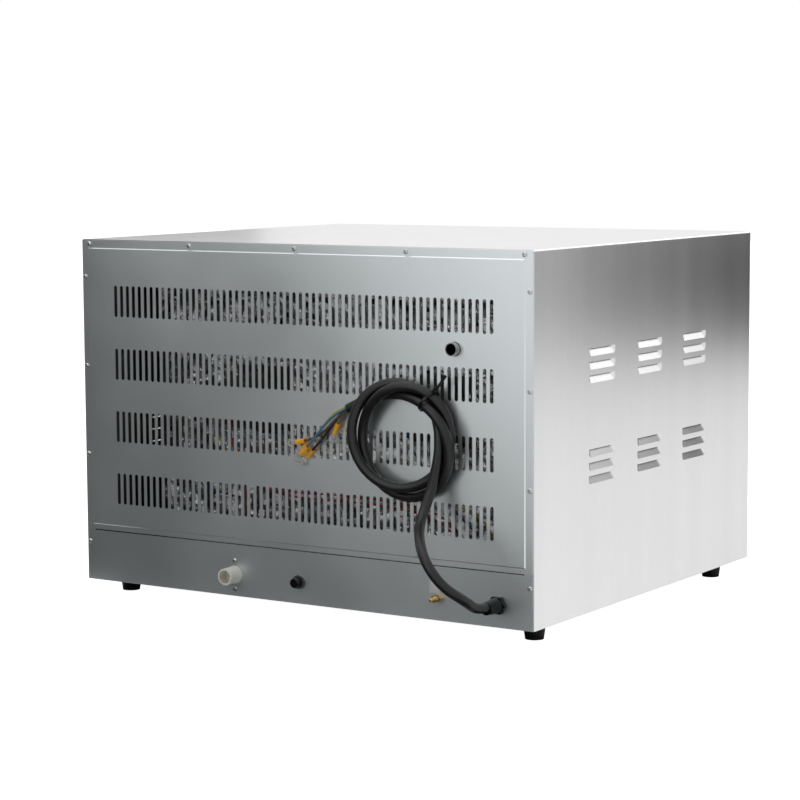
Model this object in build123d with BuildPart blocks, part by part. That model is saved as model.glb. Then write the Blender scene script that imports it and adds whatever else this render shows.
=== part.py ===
from build123d import *
from math import cos, pi, radians, sin, sqrt, tan
import os

# Counter-top convection oven with steam injection, modelled from behind.
# Millimetres, +Z up. The door faces -Y, the slotted rear panel faces +Y,
# and the origin lies on the floor under the middle of the object.

# Casing
BODY_W = 834.0
BODY_D = 731.0
BODY_H = 552.0
SHEET = 1.0
WRAP_RADIUS = 3.0
FLANGE = 16.0
FIT_GAP = 0.3
EDGE_INSET = 1.5
SCREW_FIT = 0.05
BASE_LIP = 6.0

# Feet
FOOT_H = 25.0
FOOT_TOP_R = 17.5
FOOT_TIP_R = 14.0
FOOT_SIDE_INSET = 36.0
FOOT_END_INSET = 67.0
FOOT_STUD_R = 4.0
FOOT_STUD_L = 8.0

# Rear panel and lower rear plate
PANEL_T = 1.0
FIELD_RISE = 1.5
FIELD_SLOPE = 45.0
BORDER = 12.0
BORDER_LOW = 8.0
PLATE_H = 82.0
PANEL_JOINT = 1.0
PLATE_FOLD = 10.0
PLATE_FOLD_R = 0.8
SLOT_W = 6.0
SLOT_L = 50.0
SLOT_PITCH = 12.0
SLOT_SIDE_ROOM = 66.0
SLOT_CHAMFER = 1.8
ROW_PITCH = 100.5
TOP_ROW_DROP = 98.0
LOW_ROW_ROOM = 40.0

# Panel screws
SCREW_R = 2.0
SCREW_HEAD_R = 3.8
SCREW_HEAD_H = 2.4
SCREW_HEAD_EDGE = 1.1
SCREW_LENGTH = 8.0
TOP_SCREW_DROP = 7.0
TOP_SCREW_INSET = 15.0
TOP_SCREW_COUNT = 5
SIDE_SCREW_INSET = 6.0
SIDE_SCREW_DROP = 60.0
SIDE_SCREW_RISE = 62.4
SIDE_SCREW_COUNT = 4

# Side louvres, pressed inward
LOUVRE_W = 82.0
LOUVRE_H = 12.0
LOUVRE_CORNER = 6.0
LOUVRE_DEPTH = 7.0
LOUVRE_TIP_W = 68.0
LOUVRE_TIP_H = 3.0
LOUVRE_TIP_CORNER = 1.5
LOUVRE_PITCH_Y = 156.5
LOUVRE_PITCH_Z = 20.2
LOUVRE_COLUMNS = 3
LOUVRE_ROWS = 3
UPPER_LOUVRE_DROP = 153.5
LOWER_LOUVRE_DROP = 305.0

# Fittings on the lower rear plate, all at one height
FITTING_RISE = 34.0
INLET_X = 119.5
INLET_R = 13.2
INLET_EDGE = 1.5
INLET_COLLAR_R = 14.2
INLET_COLLAR_T = 1.5
INLET_MOUTH_R = 10.5
INLET_MOUTH_DEPTH = 18.0
INLET_BORE_R = 5.5
INLET_REACH = 26.0
INLET_SCREW_PITCH = 44.0
VALVE_FLANGE_W = 30.0
VALVE_FLANGE_H = 54.0
VALVE_FLANGE_T = 4.0
VALVE_BODY_R = 12.0
VALVE_BODY_L = 34.0
VALVE_COIL = 30.0
VALVE_BARB_DEPTH = 26.0
VALVE_BARB_H = 36.0
VALVE_BARB_WALL = 4.0
VALVE_SOCKET_DEPTH = 4.0
PIPE_R = 4.0
PIPE_BORE_R = 3.0
PIPE_BEND = 25.0
PIPE_DROP = 70.0
PIPE_REACH = 4.0
RESET_X = -3.5
RESET_COLLAR_R = 10.5
RESET_COLLAR_T = 4.0
RESET_NECK_R = 9.0
RESET_CAP_R = 7.5
RESET_EDGE = 1.5
RESET_REACH = 14.0
RESET_TRAVEL = 2.0
RESET_INSET = 10.0
RESET_BODY = 30.0
RESET_BODY_D = 26.0
EARTH_INSET = 162.0
EARTH_R = 3.0
EARTH_EDGE = 1.0
EARTH_REACH = 22.0
EARTH_NUT_AF = 10.0
EARTH_NUT_T = 5.0
EARTH_NUT_GAP = 4.0
EARTH_TAIL = 8.0
GLAND_INSET = 59.0
GLAND_AF = 25.0
GLAND_BASE_T = 8.0
GLAND_REACH = 35.0
GLAND_THREAD_R = 10.0
GLAND_DOME_R = 12.0
GLAND_MOUTH_R = 9.5
GLAND_NUT_AF = 27.0
GLAND_NUT_T = 5.0
GLAND_THREAD_L = 10.0
TERMINAL_INSET = 92.0
TERMINAL_W = 66.0
TERMINAL_D = 24.0
TERMINAL_H = 22.0
TERMINAL_BACK = 60.0
TERMINAL_WELLS = 5
TERMINAL_PITCH = 12.0
TERMINAL_WELL_R = 3.5
TERMINAL_WELL_H = 6.0

# Steam outlet
OUTLET_INSET = 132.0
OUTLET_DROP = 147.0
OUTLET_R = 10.0
OUTLET_BORE_R = 8.5
OUTLET_REACH = 10.0
OUTLET_SLEEVE_R = 10.6
OUTLET_SHOULDER = 0.3
OUTLET_FIT = 0.4

# Oven chamber
CHAMBER_SIDE_ROOM = 67.0
CHAMBER_TOP_ROOM = 77.0
CHAMBER_BACK_ROOM = 191.0
CHAMBER_CORNER = 12.0
CHAMBER_T = 1.2
CHAMBER_RISE = 33.0
BLANKET_T = 30.0
BLANKET_FRONT_GAP = 20.0
BAFFLE_BACK_ROOM = 80.0
BAFFLE_T = 1.2
BAFFLE_SIDE_GAP = 30.0
BAFFLE_TOP_GAP = 8.0
BAFFLE_POST_R = 5.0
BAFFLE_POST_SIDE_INSET = 20.0
BAFFLE_POST_END_INSET = 22.0
INTAKE_INNER_R = 28.0
INTAKE_SLOT_L = 46.0
INTAKE_SLOT_W = 9.0
INTAKE_SLOTS = 14

# Fans, motors and heating elements
FAN_SIDE_ROOM = 178.0
FAN_R = 88.0
FAN_DEPTH = 34.0
FAN_BLADES = 12
FAN_BLADE_T = 1.2
FAN_BLADE_L = 34.0
FAN_BLADE_ANGLE = 35.0
FAN_BLADE_R = 68.0
FAN_RING_R = 60.0
FAN_RING_T = 1.2
FAN_PLATE_T = 1.5
FAN_HUB_R = 12.0
FAN_WALL_GAP = 14.0
SHAFT_R = 5.0
SHAFT_CLEARANCE = 1.0
SHAFT_DEPTH = 55.0
BEARING_GAP = 0.05
MOTOR_R = 42.0
MOTOR_L = 82.0
MOTOR_PLATE = 104.0
MOTOR_PLATE_T = 3.0
MOTOR_LEG_R = 5.0
MOTOR_LEG_SPREAD = 80.0
MOTOR_CAP_R = 30.0
MOTOR_CAP_T = 5.0
MOTOR_EDGE = 5.0
ELEMENT_R = 112.0
ELEMENT_TUBE_R = 4.2
ELEMENT_SWEEP = 330.0
ELEMENT_DEPTH = 39.0
ELEMENT_BEND = 12.0
ELEMENT_COLLAR_R = 8.0
ELEMENT_COLLAR_T = 4.0
ELEMENT_TAIL = 14.0

# Rack rails
RACK_PITCH = 74.0
RACK_FIRST = 66.0
RACK_LAST_ROOM = 30.0
RACK_FRONT_GAP = 30.0
RACK_BACK_GAP = 30.0
RACK_WIRE_R = 3.0
RACK_POST_R = 3.5
RACK_STANDOFF = 36.0
RACK_RAIL_REACH = 20.0
RACK_RAIL_BEND = 8.0
RACK_POST_RISE = 12.0
RACK_TOP_GAP = 28.0
RACK_ARM_INSET = 16.0
RACK_PAD_R = 8.0
RACK_PAD_T = 2.0

# Oven lamp
LAMP_R = 24.0
LAMP_DOME_H = 10.0
LAMP_BODY_R = 18.0
LAMP_DEPTH = 26.0
LAMP_BACK = 130.0
LAMP_DROP = 36.0
LAMP_EDGE = 7.0

# Front frame, gasket and door
FRAME_T = 1.5
GASKET_W = 8.0
GASKET_INSET = 2.0
DOOR_GAP = 5.0
DOOR_SIDE_GAP = 22.0
DOOR_T = 29.0
DOOR_LOW_GAP = 5.0
DOOR_TOP_GAP = 17.0
DOOR_SHEET = 1.2
DOOR_CORNER = 4.0
WINDOW_SIDE_ROOM = 75.0
WINDOW_DROP = 88.0
WINDOW_RISE = 70.0
WINDOW_CORNER = 12.0
GLASS_T = 4.0
GLASS_LAP = 14.0
HINGE_PIN_R = 4.0
HINGE_PIN_L = 14.0
HINGE_PIN_GAP = 0.05
HINGE_DEPTH = 12.0
HINGE_RISE = 8.0
HINGE_EAR_T = 4.0
HINGE_EAR_SIDE_GAP = 1.0
HINGE_EAR_R = 9.0
HINGE_BLOCK_L = 16.0
HINGE_BLOCK_D = 16.0
HINGE_BLOCK_H = 18.0
HINGE_FOOT_W = 16.0
HINGE_FOOT_H = 42.0
HINGE_FOOT_T = 3.0
HANDLE_R = 11.0
HANDLE_END_GAP = 85.0
HANDLE_REACH = 45.0
HANDLE_DROP = 38.0
HANDLE_POST_R = 8.0
HANDLE_POST_INSET = 40.0
HANDLE_EDGE = 3.0
HANDLE_FOOT_R = 12.0
HANDLE_FOOT_T = 3.0

# Control panel and its controls
CONTROL_T = 1.5
KNOB_RISE = 40.0
TEMPERATURE_X = -40.0
TIMER_X = -190.0
KNOB_R = 22.0
KNOB_H = 20.0
KNOB_SKIRT_R = 25.0
KNOB_SKIRT_H = 4.0
KNOB_GAP = 1.0
KNOB_EDGE = 2.0
POINTER_W = 2.5
POINTER_L = 14.0
POINTER_DEPTH = 1.2
SPINDLE_R = 3.0
SPINDLE_DEPTH = 22.0
SPINDLE_GAP = 0.05
SPINDLE_HOLE_GAP = 1.0
CONTROL_BODY = 44.0
CONTROL_BODY_D = 32.0
STEAM_X = 110.0
STEAM_BUTTON_R = 9.0
STEAM_BEZEL_R = 13.0
STEAM_BEZEL_T = 3.0
STEAM_NECK_R = 11.0
STEAM_REACH = 8.0
STEAM_INSET = 10.0
STEAM_BODY = 28.0
STEAM_TRAVEL = 3.0
STEAM_BODY_L = 34.0
STEAM_EDGE = 2.0
INDICATOR_X = (190.0, 230.0)
INDICATOR_R = 5.0
INDICATOR_LENS_R = 6.5
INDICATOR_LENS_T = 3.0
INDICATOR_STEM = 20.0
INDICATOR_EDGE = 2.0

# Power cable
CABLE_D = 15.0
COIL_INSET = 214.0
COIL_RISE = 266.0
COIL_R = 80.0
COIL_STANDOFF = 19.3
STRAND_OFFSET = 10.2
STRAND_PHASE = 128.0
STRAND_SWING = 28.0
STRAND_TWIST = 4.0 / 3.0
COIL_START = -20.0
COIL_END = 830.0
COIL_STEPS = 10
COIL_LEAD = 15.0
COIL_TAIL = 16.0
TAIL_CORNER = (298.0, 9.5, 315.5)
BEND_SHARE = 0.45
GAP_SAMPLES = 360
GAP_APART = 100.0
TIE_ANGLE = 52.0
TIE_W = 4.0
TIE_T = 1.2
TIE_HEAD = 7.0
TIE_HEAD_H = 5.0
TIE_TAIL_L = 26.0

# Route of the loose cable from the gland to the coil: distance from the left side,
# distance behind the back of the body, and height above the bottom of the body
CABLE_ROUTE = [
    (59.0, 0.0, 34.0),
    (59.0, 54.7, 34.0),
    (57.5, 93.1, 54.8),
    (79.1, 119.6, 77.0),
    (104.8, 123.3, 108.4),
    (129.1, 102.7, 133.9),
    (155.5, 60.1, 154.9),
    (155.3, 33.2, 189.8),
]

# The five cores: angle of each in the jacket's end, its first straight run,
# then its route in the same terms as the cable's
CORE_D = 4.0
CORE_RING_R = 4.0
CORE_ROUTES = {
    "core_earth": (90.0, 10.3, [
        (340.0, 10.6, 299.0), (358.0, 8.6, 281.0), (372.3, 8.0, 259.8), (387.3, 8.0, 249.8),
    ]),
    "core_blue": (18.0, 12.0, [
        (340.0, 17.6, 293.0), (357.0, 18.2, 275.0), (372.4, 18.2, 258.0), (384.8, 18.2, 245.1),
    ]),
    "core_brown": (-54.0, 12.3, [
        (337.0, 13.0, 288.0), (353.0, 11.0, 273.0), (375.0, 13.4, 259.1), (392.9, 13.4, 255.1),
    ]),
    "core_black": (162.0, 12.2, [
        (335.0, 7.0, 291.0), (353.0, 6.8, 270.0), (368.6, 8.0, 252.4), (381.8, 8.0, 239.2),
    ]),
    "core_grey": (234.0, 11.4, [
        (327.5, 8.6, 292.4), (333.0, 8.6, 281.2),
    ]),
}
SLEEVE_R = 3.3
SLEEVE_L = 18.0
SLEEVE_LAP = 4.0
BARREL_R = 2.2
RING_R = 5.75
RING_HOLE_R = 2.6
RING_T = 1.0
RING_REACH = 24.0

# Wires inside the casing: well of the terminal block, motor, points in the same terms
# as the cable's, then points from the middle of the motor's back cap
LOOM_D = 3.0
LOOM_BEND = 8.0
LOOM_ROUTES = [
    (-2, "left", [(68.0, -60.0, 75.0), (149.0, -47.5, 145.0), (227.0, -47.5, 225.0)], [(0.0, 22.5, -20.0)]),
    (2, "right", [(116.0, -60.0, 65.0), (167.0, -45.5, 145.0), (234.0, -45.5, 162.0), (357.0, -45.5, 167.0),
                  (479.0, -47.5, 162.0)], [(-32.0, 20.5, -100.0), (-12.0, 20.5, -14.0)]),
    (0, "right", [(92.0, -60.0, 105.0), (117.0, -35.5, 171.0), (317.0, -33.5, 183.0), (477.0, -35.5, 197.0)],
     [(-22.0, 25.5, -86.0), (13.0, 22.5, -50.0), (13.0, 22.5, -24.0)]),
]

# Places worked out from the sizes above
FRONT_REACH = DOOR_GAP + DOOR_T + HANDLE_REACH + HANDLE_R
REAR_REACH = INLET_REACH
BACK_Y = (BODY_D + FRONT_REACH - REAR_REACH) / 2
FRONT_Y = BACK_Y - BODY_D
TOP_Z = FOOT_H + BODY_H
JOINT_Z = FOOT_H + PLATE_H
FITTING_Z = FOOT_H + FITTING_RISE
BORDER_Y = BACK_Y - FIELD_RISE
SHELL_BACK_Y = BORDER_Y - PANEL_T
SHELL_FRONT_Y = FRONT_Y + FRAME_T
SHELL_L = SHELL_BACK_Y - SHELL_FRONT_Y
SIDE_X = BODY_W / 2
EARTH_X = EARTH_INSET - SIDE_X
GLAND_X = GLAND_INSET - SIDE_X
TERMINAL_X = TERMINAL_INSET - SIDE_X
OUTLET_X = OUTLET_INSET - SIDE_X
COIL_X = COIL_INSET - SIDE_X
CHAMBER_W = BODY_W - 2 * CHAMBER_SIDE_ROOM
CHAMBER_H = BODY_H - PLATE_H - CHAMBER_RISE - CHAMBER_TOP_ROOM
CHAMBER_D = BODY_D - CHAMBER_BACK_ROOM
CHAMBER_FLOOR_Z = JOINT_Z + CHAMBER_RISE
CHAMBER_Z = CHAMBER_FLOOR_Z + CHAMBER_H / 2
CHAMBER_BACK_Y = SHELL_FRONT_Y + CHAMBER_D
WALL_BACK_Y = CHAMBER_BACK_Y + CHAMBER_T
BLANKET_BACK_Y = WALL_BACK_Y + BLANKET_T
BAFFLE_Y = CHAMBER_BACK_Y - BAFFLE_BACK_ROOM
FAN_X = CHAMBER_W / 2 - FAN_SIDE_ROOM
PIPE_TOP_Z = CHAMBER_Z - PIPE_DROP
FAN_BACK_Y = CHAMBER_BACK_Y - FAN_WALL_GAP
MOTOR_FRONT_Y = BLANKET_BACK_Y + FIT_GAP
OUTLET_Z = TOP_Z - OUTLET_DROP
DOOR_BACK_Y = FRONT_Y - DOOR_GAP
DOOR_FRONT_Y = DOOR_BACK_Y - DOOR_T
DOOR_Z = JOINT_Z + DOOR_LOW_GAP
DOOR_W = BODY_W - 2 * DOOR_SIDE_GAP
DOOR_H = TOP_Z - DOOR_TOP_GAP - DOOR_Z
WINDOW_W = DOOR_W - 2 * WINDOW_SIDE_ROOM
WINDOW_H = DOOR_H - WINDOW_DROP - WINDOW_RISE
WINDOW_Z = DOOR_Z + DOOR_H - WINDOW_DROP - WINDOW_H / 2
HINGE_Y = FRONT_Y - HINGE_DEPTH
HINGE_Z = DOOR_Z + HINGE_RISE
HANDLE_L = DOOR_W - 2 * HANDLE_END_GAP
HANDLE_POST_X = HANDLE_L / 2 - HANDLE_POST_INSET
HANDLE_Y = DOOR_FRONT_Y - HANDLE_REACH
HANDLE_Z = DOOR_Z + DOOR_H - HANDLE_DROP
KNOB_Z = FOOT_H + KNOB_RISE
COIL_Z = FOOT_H + COIL_RISE


def rear_plane(y):
    """A plane at depth y that looks out of the back: local x is -X, local y is +Z."""
    return Plane(origin=(0, y, 0), x_dir=(-1, 0, 0), z_dir=(0, 1, 0))


def front_plane(y):
    """A plane at depth y that looks out of the front: local x is +X, local y is +Z."""
    return Plane(origin=(0, y, 0), x_dir=(1, 0, 0), z_dir=(0, -1, 0))


def side_plane(side):
    """The outer face of a side wall: local x runs along Y, local y is +Z."""
    return Plane(origin=(side * SIDE_X, 0, 0), x_dir=(0, side, 0), z_dir=(side, 0, 0))


def finish(piece, node):
    """Label one finished piece and write it as its own file."""
    piece.part.label = node
    export_step(piece.part, f"parts/{node}.step")
    print(node, round(piece.part.volume))


os.makedirs("parts", exist_ok=True)

# Screw places on the rear, as (x, z)
top_screw_z = TOP_Z - TOP_SCREW_DROP
side_screw_x = SIDE_X - SIDE_SCREW_INSET
top_screw_pitch = (BODY_W - 2 * TOP_SCREW_INSET) / (TOP_SCREW_COUNT - 1)
side_screw_pitch = (BODY_H - SIDE_SCREW_DROP - SIDE_SCREW_RISE) / (SIDE_SCREW_COUNT - 1)
top_screws = [
    (TOP_SCREW_INSET - SIDE_X + i * top_screw_pitch, top_screw_z)
    for i in range(TOP_SCREW_COUNT)
]
side_screws = [
    (side * side_screw_x, TOP_Z - SIDE_SCREW_DROP - i * side_screw_pitch)
    for side in (-1, 1)
    for i in range(SIDE_SCREW_COUNT)
]
rear_screws = top_screws + side_screws
upper_screws = [place for place in rear_screws if place[1] > JOINT_Z]
lower_screws = [place for place in rear_screws if place[1] < JOINT_Z]
inlet_screws = [(INLET_X, FITTING_Z + s * INLET_SCREW_PITCH / 2) for s in (-1, 1)]


def mirrored(places):
    """Places for a sketch that looks out of the back, where X is turned round."""
    return [(-x, z) for x, z in places]


# Louvre, drawn at the middle of its straight top edge with the outside towards +Z
with BuildPart() as louvre_metal:
    with BuildSketch() as mouth:
        Rectangle(LOUVRE_W + 2 * SHEET, LOUVRE_H + SHEET, align=(Align.CENTER, Align.MAX))
        fillet(mouth.vertices().group_by(Axis.Y)[0], LOUVRE_CORNER + SHEET)
    with BuildSketch(Plane.XY.offset(-LOUVRE_DEPTH - SHEET)) as tip:
        Rectangle(LOUVRE_TIP_W + 2 * SHEET, LOUVRE_TIP_H + SHEET, align=(Align.CENTER, Align.MAX))
        fillet(tip.vertices().group_by(Axis.Y)[0], LOUVRE_TIP_CORNER + SHEET)
    loft()

with BuildPart() as louvre_hollow:
    with BuildSketch() as mouth:
        Rectangle(LOUVRE_W, LOUVRE_H, align=(Align.CENTER, Align.MAX))
        fillet(mouth.vertices().group_by(Axis.Y)[0], LOUVRE_CORNER)
    with BuildSketch(Plane.XY.offset(-LOUVRE_DEPTH)) as tip:
        Rectangle(LOUVRE_TIP_W, LOUVRE_TIP_H, align=(Align.CENTER, Align.MAX))
        fillet(tip.vertices().group_by(Axis.Y)[0], LOUVRE_TIP_CORNER)
    loft()

body_mid_y = (FRONT_Y + BACK_Y) / 2
louvre_places = [
    side_plane(side).location
    * Location((side * body_mid_y + (i - (LOUVRE_COLUMNS - 1) / 2) * LOUVRE_PITCH_Y,
                TOP_Z - drop - j * LOUVRE_PITCH_Z, 0))
    for side in (-1, 1)
    for drop in (UPPER_LOUVRE_DROP, LOWER_LOUVRE_DROP)
    for i in range(LOUVRE_COLUMNS)
    for j in range(LOUVRE_ROWS)
]

# Outer shell: one sheet wrapped over the top and both sides, with return flanges
with BuildPart() as outer_shell:
    with BuildSketch(front_plane(SHELL_BACK_Y)) as wrap_outline:
        with Locations((0, FOOT_H)):
            Rectangle(BODY_W, BODY_H, align=(Align.CENTER, Align.MIN))
        fillet(wrap_outline.vertices().group_by(Axis.Y)[-1], WRAP_RADIUS)
    extrude(amount=SHELL_L)
    with BuildSketch(front_plane(SHELL_BACK_Y)) as wrap_hollow:
        with Locations((0, FOOT_H)):
            Rectangle(BODY_W - 2 * SHEET, BODY_H - SHEET, align=(Align.CENTER, Align.MIN))
        fillet(wrap_hollow.vertices().group_by(Axis.Y)[-1], WRAP_RADIUS - SHEET)
    extrude(amount=SHELL_L, mode=Mode.SUBTRACT)
    for flange_y in (SHELL_BACK_Y, SHELL_FRONT_Y + SHEET):
        with BuildSketch(front_plane(flange_y)) as return_flange:
            with Locations((0, FOOT_H)):
                Rectangle(BODY_W - SHEET, BODY_H - SHEET / 2, align=(Align.CENTER, Align.MIN))
                Rectangle(
                    BODY_W - 2 * FLANGE,
                    BODY_H - FLANGE,
                    align=(Align.CENTER, Align.MIN),
                    mode=Mode.SUBTRACT,
                )
            fillet(return_flange.vertices().group_by(Axis.Y)[-1], WRAP_RADIUS - SHEET / 2)
        extrude(amount=SHEET)
    with Locations(*louvre_places):
        add(louvre_metal.part)
    with Locations(*louvre_places):
        add(louvre_hollow.part, mode=Mode.SUBTRACT)
    with BuildSketch(rear_plane(SHELL_BACK_Y)):
        with Locations(*mirrored(rear_screws)):
            Circle(SCREW_R + SCREW_FIT)
    extrude(amount=-SHEET, mode=Mode.SUBTRACT)
finish(outer_shell, "outer_shell")

# Base pan: a tray inside the wrap that closes the bottom
pan_w = BODY_W - 2 * SHEET
pan_d = SHELL_L - 2 * SHEET
pan_mid_y = SHELL_FRONT_Y + SHELL_L / 2
foot_x = SIDE_X - FOOT_SIDE_INSET
foot_ends = {"front": FRONT_Y + FOOT_END_INSET, "rear": BACK_Y - FOOT_END_INSET}
foot_places = {
    f"foot_{end}_{side}": (sign * foot_x, y)
    for end, y in foot_ends.items()
    for side, sign in (("left", -1), ("right", 1))
}
with BuildPart() as base_pan:
    with BuildSketch(Plane.XY.offset(FOOT_H)):
        with Locations((0, pan_mid_y)):
            Rectangle(pan_w, pan_d)
    extrude(amount=BASE_LIP)
    with BuildSketch(Plane.XY.offset(FOOT_H + SHEET)):
        with Locations((0, pan_mid_y)):
            Rectangle(pan_w - 2 * SHEET, pan_d - 2 * SHEET)
    extrude(amount=BASE_LIP, mode=Mode.SUBTRACT)
    with BuildSketch(Plane.XY.offset(FOOT_H)):
        with Locations(*foot_places.values()):
            Circle(FOOT_STUD_R + FIT_GAP)
    extrude(amount=SHEET, mode=Mode.SUBTRACT)
finish(base_pan, "base_pan")

# Feet: tapered rubber, each with a stud through the base pan
for foot_name, (x, y) in foot_places.items():
    with BuildPart() as foot:
        with BuildSketch() as sole:
            with Locations((x, y)):
                Circle(FOOT_TIP_R)
        with BuildSketch(Plane.XY.offset(FOOT_H)) as crown:
            with Locations((x, y)):
                Circle(FOOT_TOP_R)
        loft()
        with BuildSketch(Plane.XY.offset(FOOT_H)):
            with Locations((x, y)):
                Circle(FOOT_STUD_R)
        extrude(amount=FOOT_STUD_L)
    finish(foot, foot_name)

# Rear panel: border screwed to the flanges, raised field with rows of slots
panel_w = BODY_W - 2 * EDGE_INSET
panel_low_z = JOINT_Z + PANEL_JOINT
panel_h = TOP_Z - EDGE_INSET - panel_low_z
field_w = panel_w - 2 * BORDER
field_h = panel_h - BORDER - BORDER_LOW
field_z = panel_low_z + BORDER_LOW + field_h / 2
slot_count = int((BODY_W - 2 * SLOT_SIDE_ROOM) / SLOT_PITCH) + 1
slot_rows = int((BODY_H - PLATE_H - TOP_ROW_DROP - LOW_ROW_ROOM) / ROW_PITCH) + 1
slot_rows_z = TOP_Z - TOP_ROW_DROP - (slot_rows - 1) / 2 * ROW_PITCH
with BuildPart() as rear_panel:
    with BuildSketch(rear_plane(SHELL_BACK_Y)):
        with Locations((0, panel_low_z)):
            Rectangle(panel_w, panel_h, align=(Align.CENTER, Align.MIN))
    extrude(amount=PANEL_T)
    with BuildSketch(rear_plane(BORDER_Y)):
        with Locations((0, field_z)):
            Rectangle(field_w, field_h)
    extrude(amount=FIELD_RISE, taper=FIELD_SLOPE)
    with BuildSketch(rear_plane(SHELL_BACK_Y)):
        with Locations((0, field_z)):
            Rectangle(field_w - 2 * PANEL_T, field_h - 2 * PANEL_T)
    extrude(amount=FIELD_RISE, taper=FIELD_SLOPE, mode=Mode.SUBTRACT)
    with BuildSketch(rear_plane(BACK_Y)) as slots:
        with Locations((0, slot_rows_z)):
            with GridLocations(SLOT_PITCH, ROW_PITCH, slot_count, slot_rows):
                Rectangle(SLOT_W, SLOT_L)
        chamfer(slots.vertices(), SLOT_CHAMFER)
    extrude(amount=-FIELD_RISE - PANEL_T, mode=Mode.SUBTRACT)
    with BuildSketch(rear_plane(BACK_Y)):
        with Locations((-OUTLET_X, OUTLET_Z)):
            Circle(OUTLET_SLEEVE_R + OUTLET_FIT)
    extrude(amount=-FIELD_RISE - PANEL_T, mode=Mode.SUBTRACT)
    with BuildSketch(rear_plane(BORDER_Y)):
        with Locations(*mirrored(upper_screws)):
            Circle(SCREW_R + FIT_GAP)
    extrude(amount=-PANEL_T, mode=Mode.SUBTRACT)
finish(rear_panel, "rear_panel")

# Lower rear plate: carries the water, reset, earth and cable fittings
fitting_holes = [
    (INLET_X, INLET_COLLAR_R + FIT_GAP),
    (RESET_X, RESET_NECK_R + FIT_GAP),
    (EARTH_X, EARTH_R + FIT_GAP),
    (GLAND_X, GLAND_THREAD_R + FIT_GAP),
]
with BuildPart() as lower_rear_plate:
    with BuildSketch(rear_plane(SHELL_BACK_Y)):
        with Locations((0, FOOT_H)):
            Rectangle(panel_w, PLATE_H, align=(Align.CENTER, Align.MIN))
    extrude(amount=PANEL_T)
    with BuildSketch(rear_plane(BORDER_Y)):
        with Locations((0, JOINT_Z)):
            Rectangle(BODY_W - 2 * FLANGE - 2 * PANEL_T, PANEL_T, align=(Align.CENTER, Align.MAX))
    extrude(amount=-PLATE_FOLD)
    fold_edge = lower_rear_plate.edges().filter_by(Axis.X).group_by(Axis.Y)[-1].sort_by(Axis.Z)[-1]
    fillet(fold_edge, PLATE_FOLD_R)
    for x, hole_r in fitting_holes:
        with BuildSketch(rear_plane(BORDER_Y)):
            with Locations((-x, FITTING_Z)):
                Circle(hole_r)
        extrude(amount=-PANEL_T, mode=Mode.SUBTRACT)
    with BuildSketch(rear_plane(BORDER_Y)):
        with Locations(*mirrored(lower_screws + inlet_screws)):
            Circle(SCREW_R + FIT_GAP)
    extrude(amount=-PANEL_T, mode=Mode.SUBTRACT)
finish(lower_rear_plate, "lower_rear_plate")

# Screws: pan heads on the border, on the lower plate and beside the water inlet
with BuildPart() as panel_screws:
    with BuildSketch(rear_plane(BORDER_Y)):
        with Locations(*mirrored(rear_screws + inlet_screws)):
            Circle(SCREW_HEAD_R)
    extrude(amount=SCREW_HEAD_H)
    crowns = panel_screws.faces().group_by(Axis.Y)[-1].edges()
    chamfer(crowns, SCREW_HEAD_EDGE)
    with BuildSketch(rear_plane(BORDER_Y)):
        with Locations(*mirrored(rear_screws + inlet_screws)):
            Circle(SCREW_R)
    extrude(amount=-SCREW_LENGTH)
finish(panel_screws, "panel_screws")

# Front frame: the flat face round the chamber mouth
with BuildPart() as front_frame:
    with BuildSketch(front_plane(SHELL_FRONT_Y)) as frame_outline:
        with Locations((0, JOINT_Z)):
            Rectangle(BODY_W, TOP_Z - JOINT_Z, align=(Align.CENTER, Align.MIN))
        fillet(frame_outline.vertices().group_by(Axis.Z)[-1], WRAP_RADIUS)
        with Locations((0, CHAMBER_Z)):
            RectangleRounded(CHAMBER_W, CHAMBER_H, CHAMBER_CORNER, mode=Mode.SUBTRACT)
    extrude(amount=FRAME_T)
finish(front_frame, "front_frame")

# Control panel: the strip under the door, with holes for its controls
spindle_places = [(TEMPERATURE_X, KNOB_Z), (TIMER_X, KNOB_Z)]
indicator_places = [(x, KNOB_Z) for x in INDICATOR_X]
with BuildPart() as control_panel:
    with BuildSketch(front_plane(SHELL_FRONT_Y)):
        with Locations((0, FOOT_H)):
            Rectangle(BODY_W, PLATE_H - PANEL_JOINT, align=(Align.CENTER, Align.MIN))
        with Locations(*spindle_places):
            Circle(SPINDLE_R + SPINDLE_HOLE_GAP, mode=Mode.SUBTRACT)
        with Locations((STEAM_X, KNOB_Z)):
            Circle(STEAM_NECK_R + FIT_GAP, mode=Mode.SUBTRACT)
        with Locations(*indicator_places):
            Circle(INDICATOR_R, mode=Mode.SUBTRACT)
    extrude(amount=CONTROL_T)
finish(control_panel, "control_panel")

# Places shared by the chamber, the blanket and what passes through them
fan_places = {"left": (-FAN_X, CHAMBER_Z), "right": (FAN_X, CHAMBER_Z)}
leg_offset = MOTOR_LEG_SPREAD / 2
leg_places = [
    (x + i * leg_offset, z + j * leg_offset)
    for x, z in fan_places.values()
    for i in (-1, 1)
    for j in (-1, 1)
]
element_gap = radians((360 - ELEMENT_SWEEP) / 2)
tail_x = ELEMENT_R * sin(element_gap) - ELEMENT_BEND * cos(element_gap)
tail_drop = ELEMENT_R * cos(element_gap) + ELEMENT_BEND * sin(element_gap)
tail_places = [
    (x + side * tail_x, z - tail_drop) for x, z in fan_places.values() for side in (-1, 1)
]
outlet_place = (OUTLET_X, OUTLET_Z)
pipe_place = (INLET_X, PIPE_TOP_Z)
lamp_y = SHELL_FRONT_Y + LAMP_BACK
lamp_z = CHAMBER_Z + CHAMBER_H / 2 - LAMP_DROP

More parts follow.
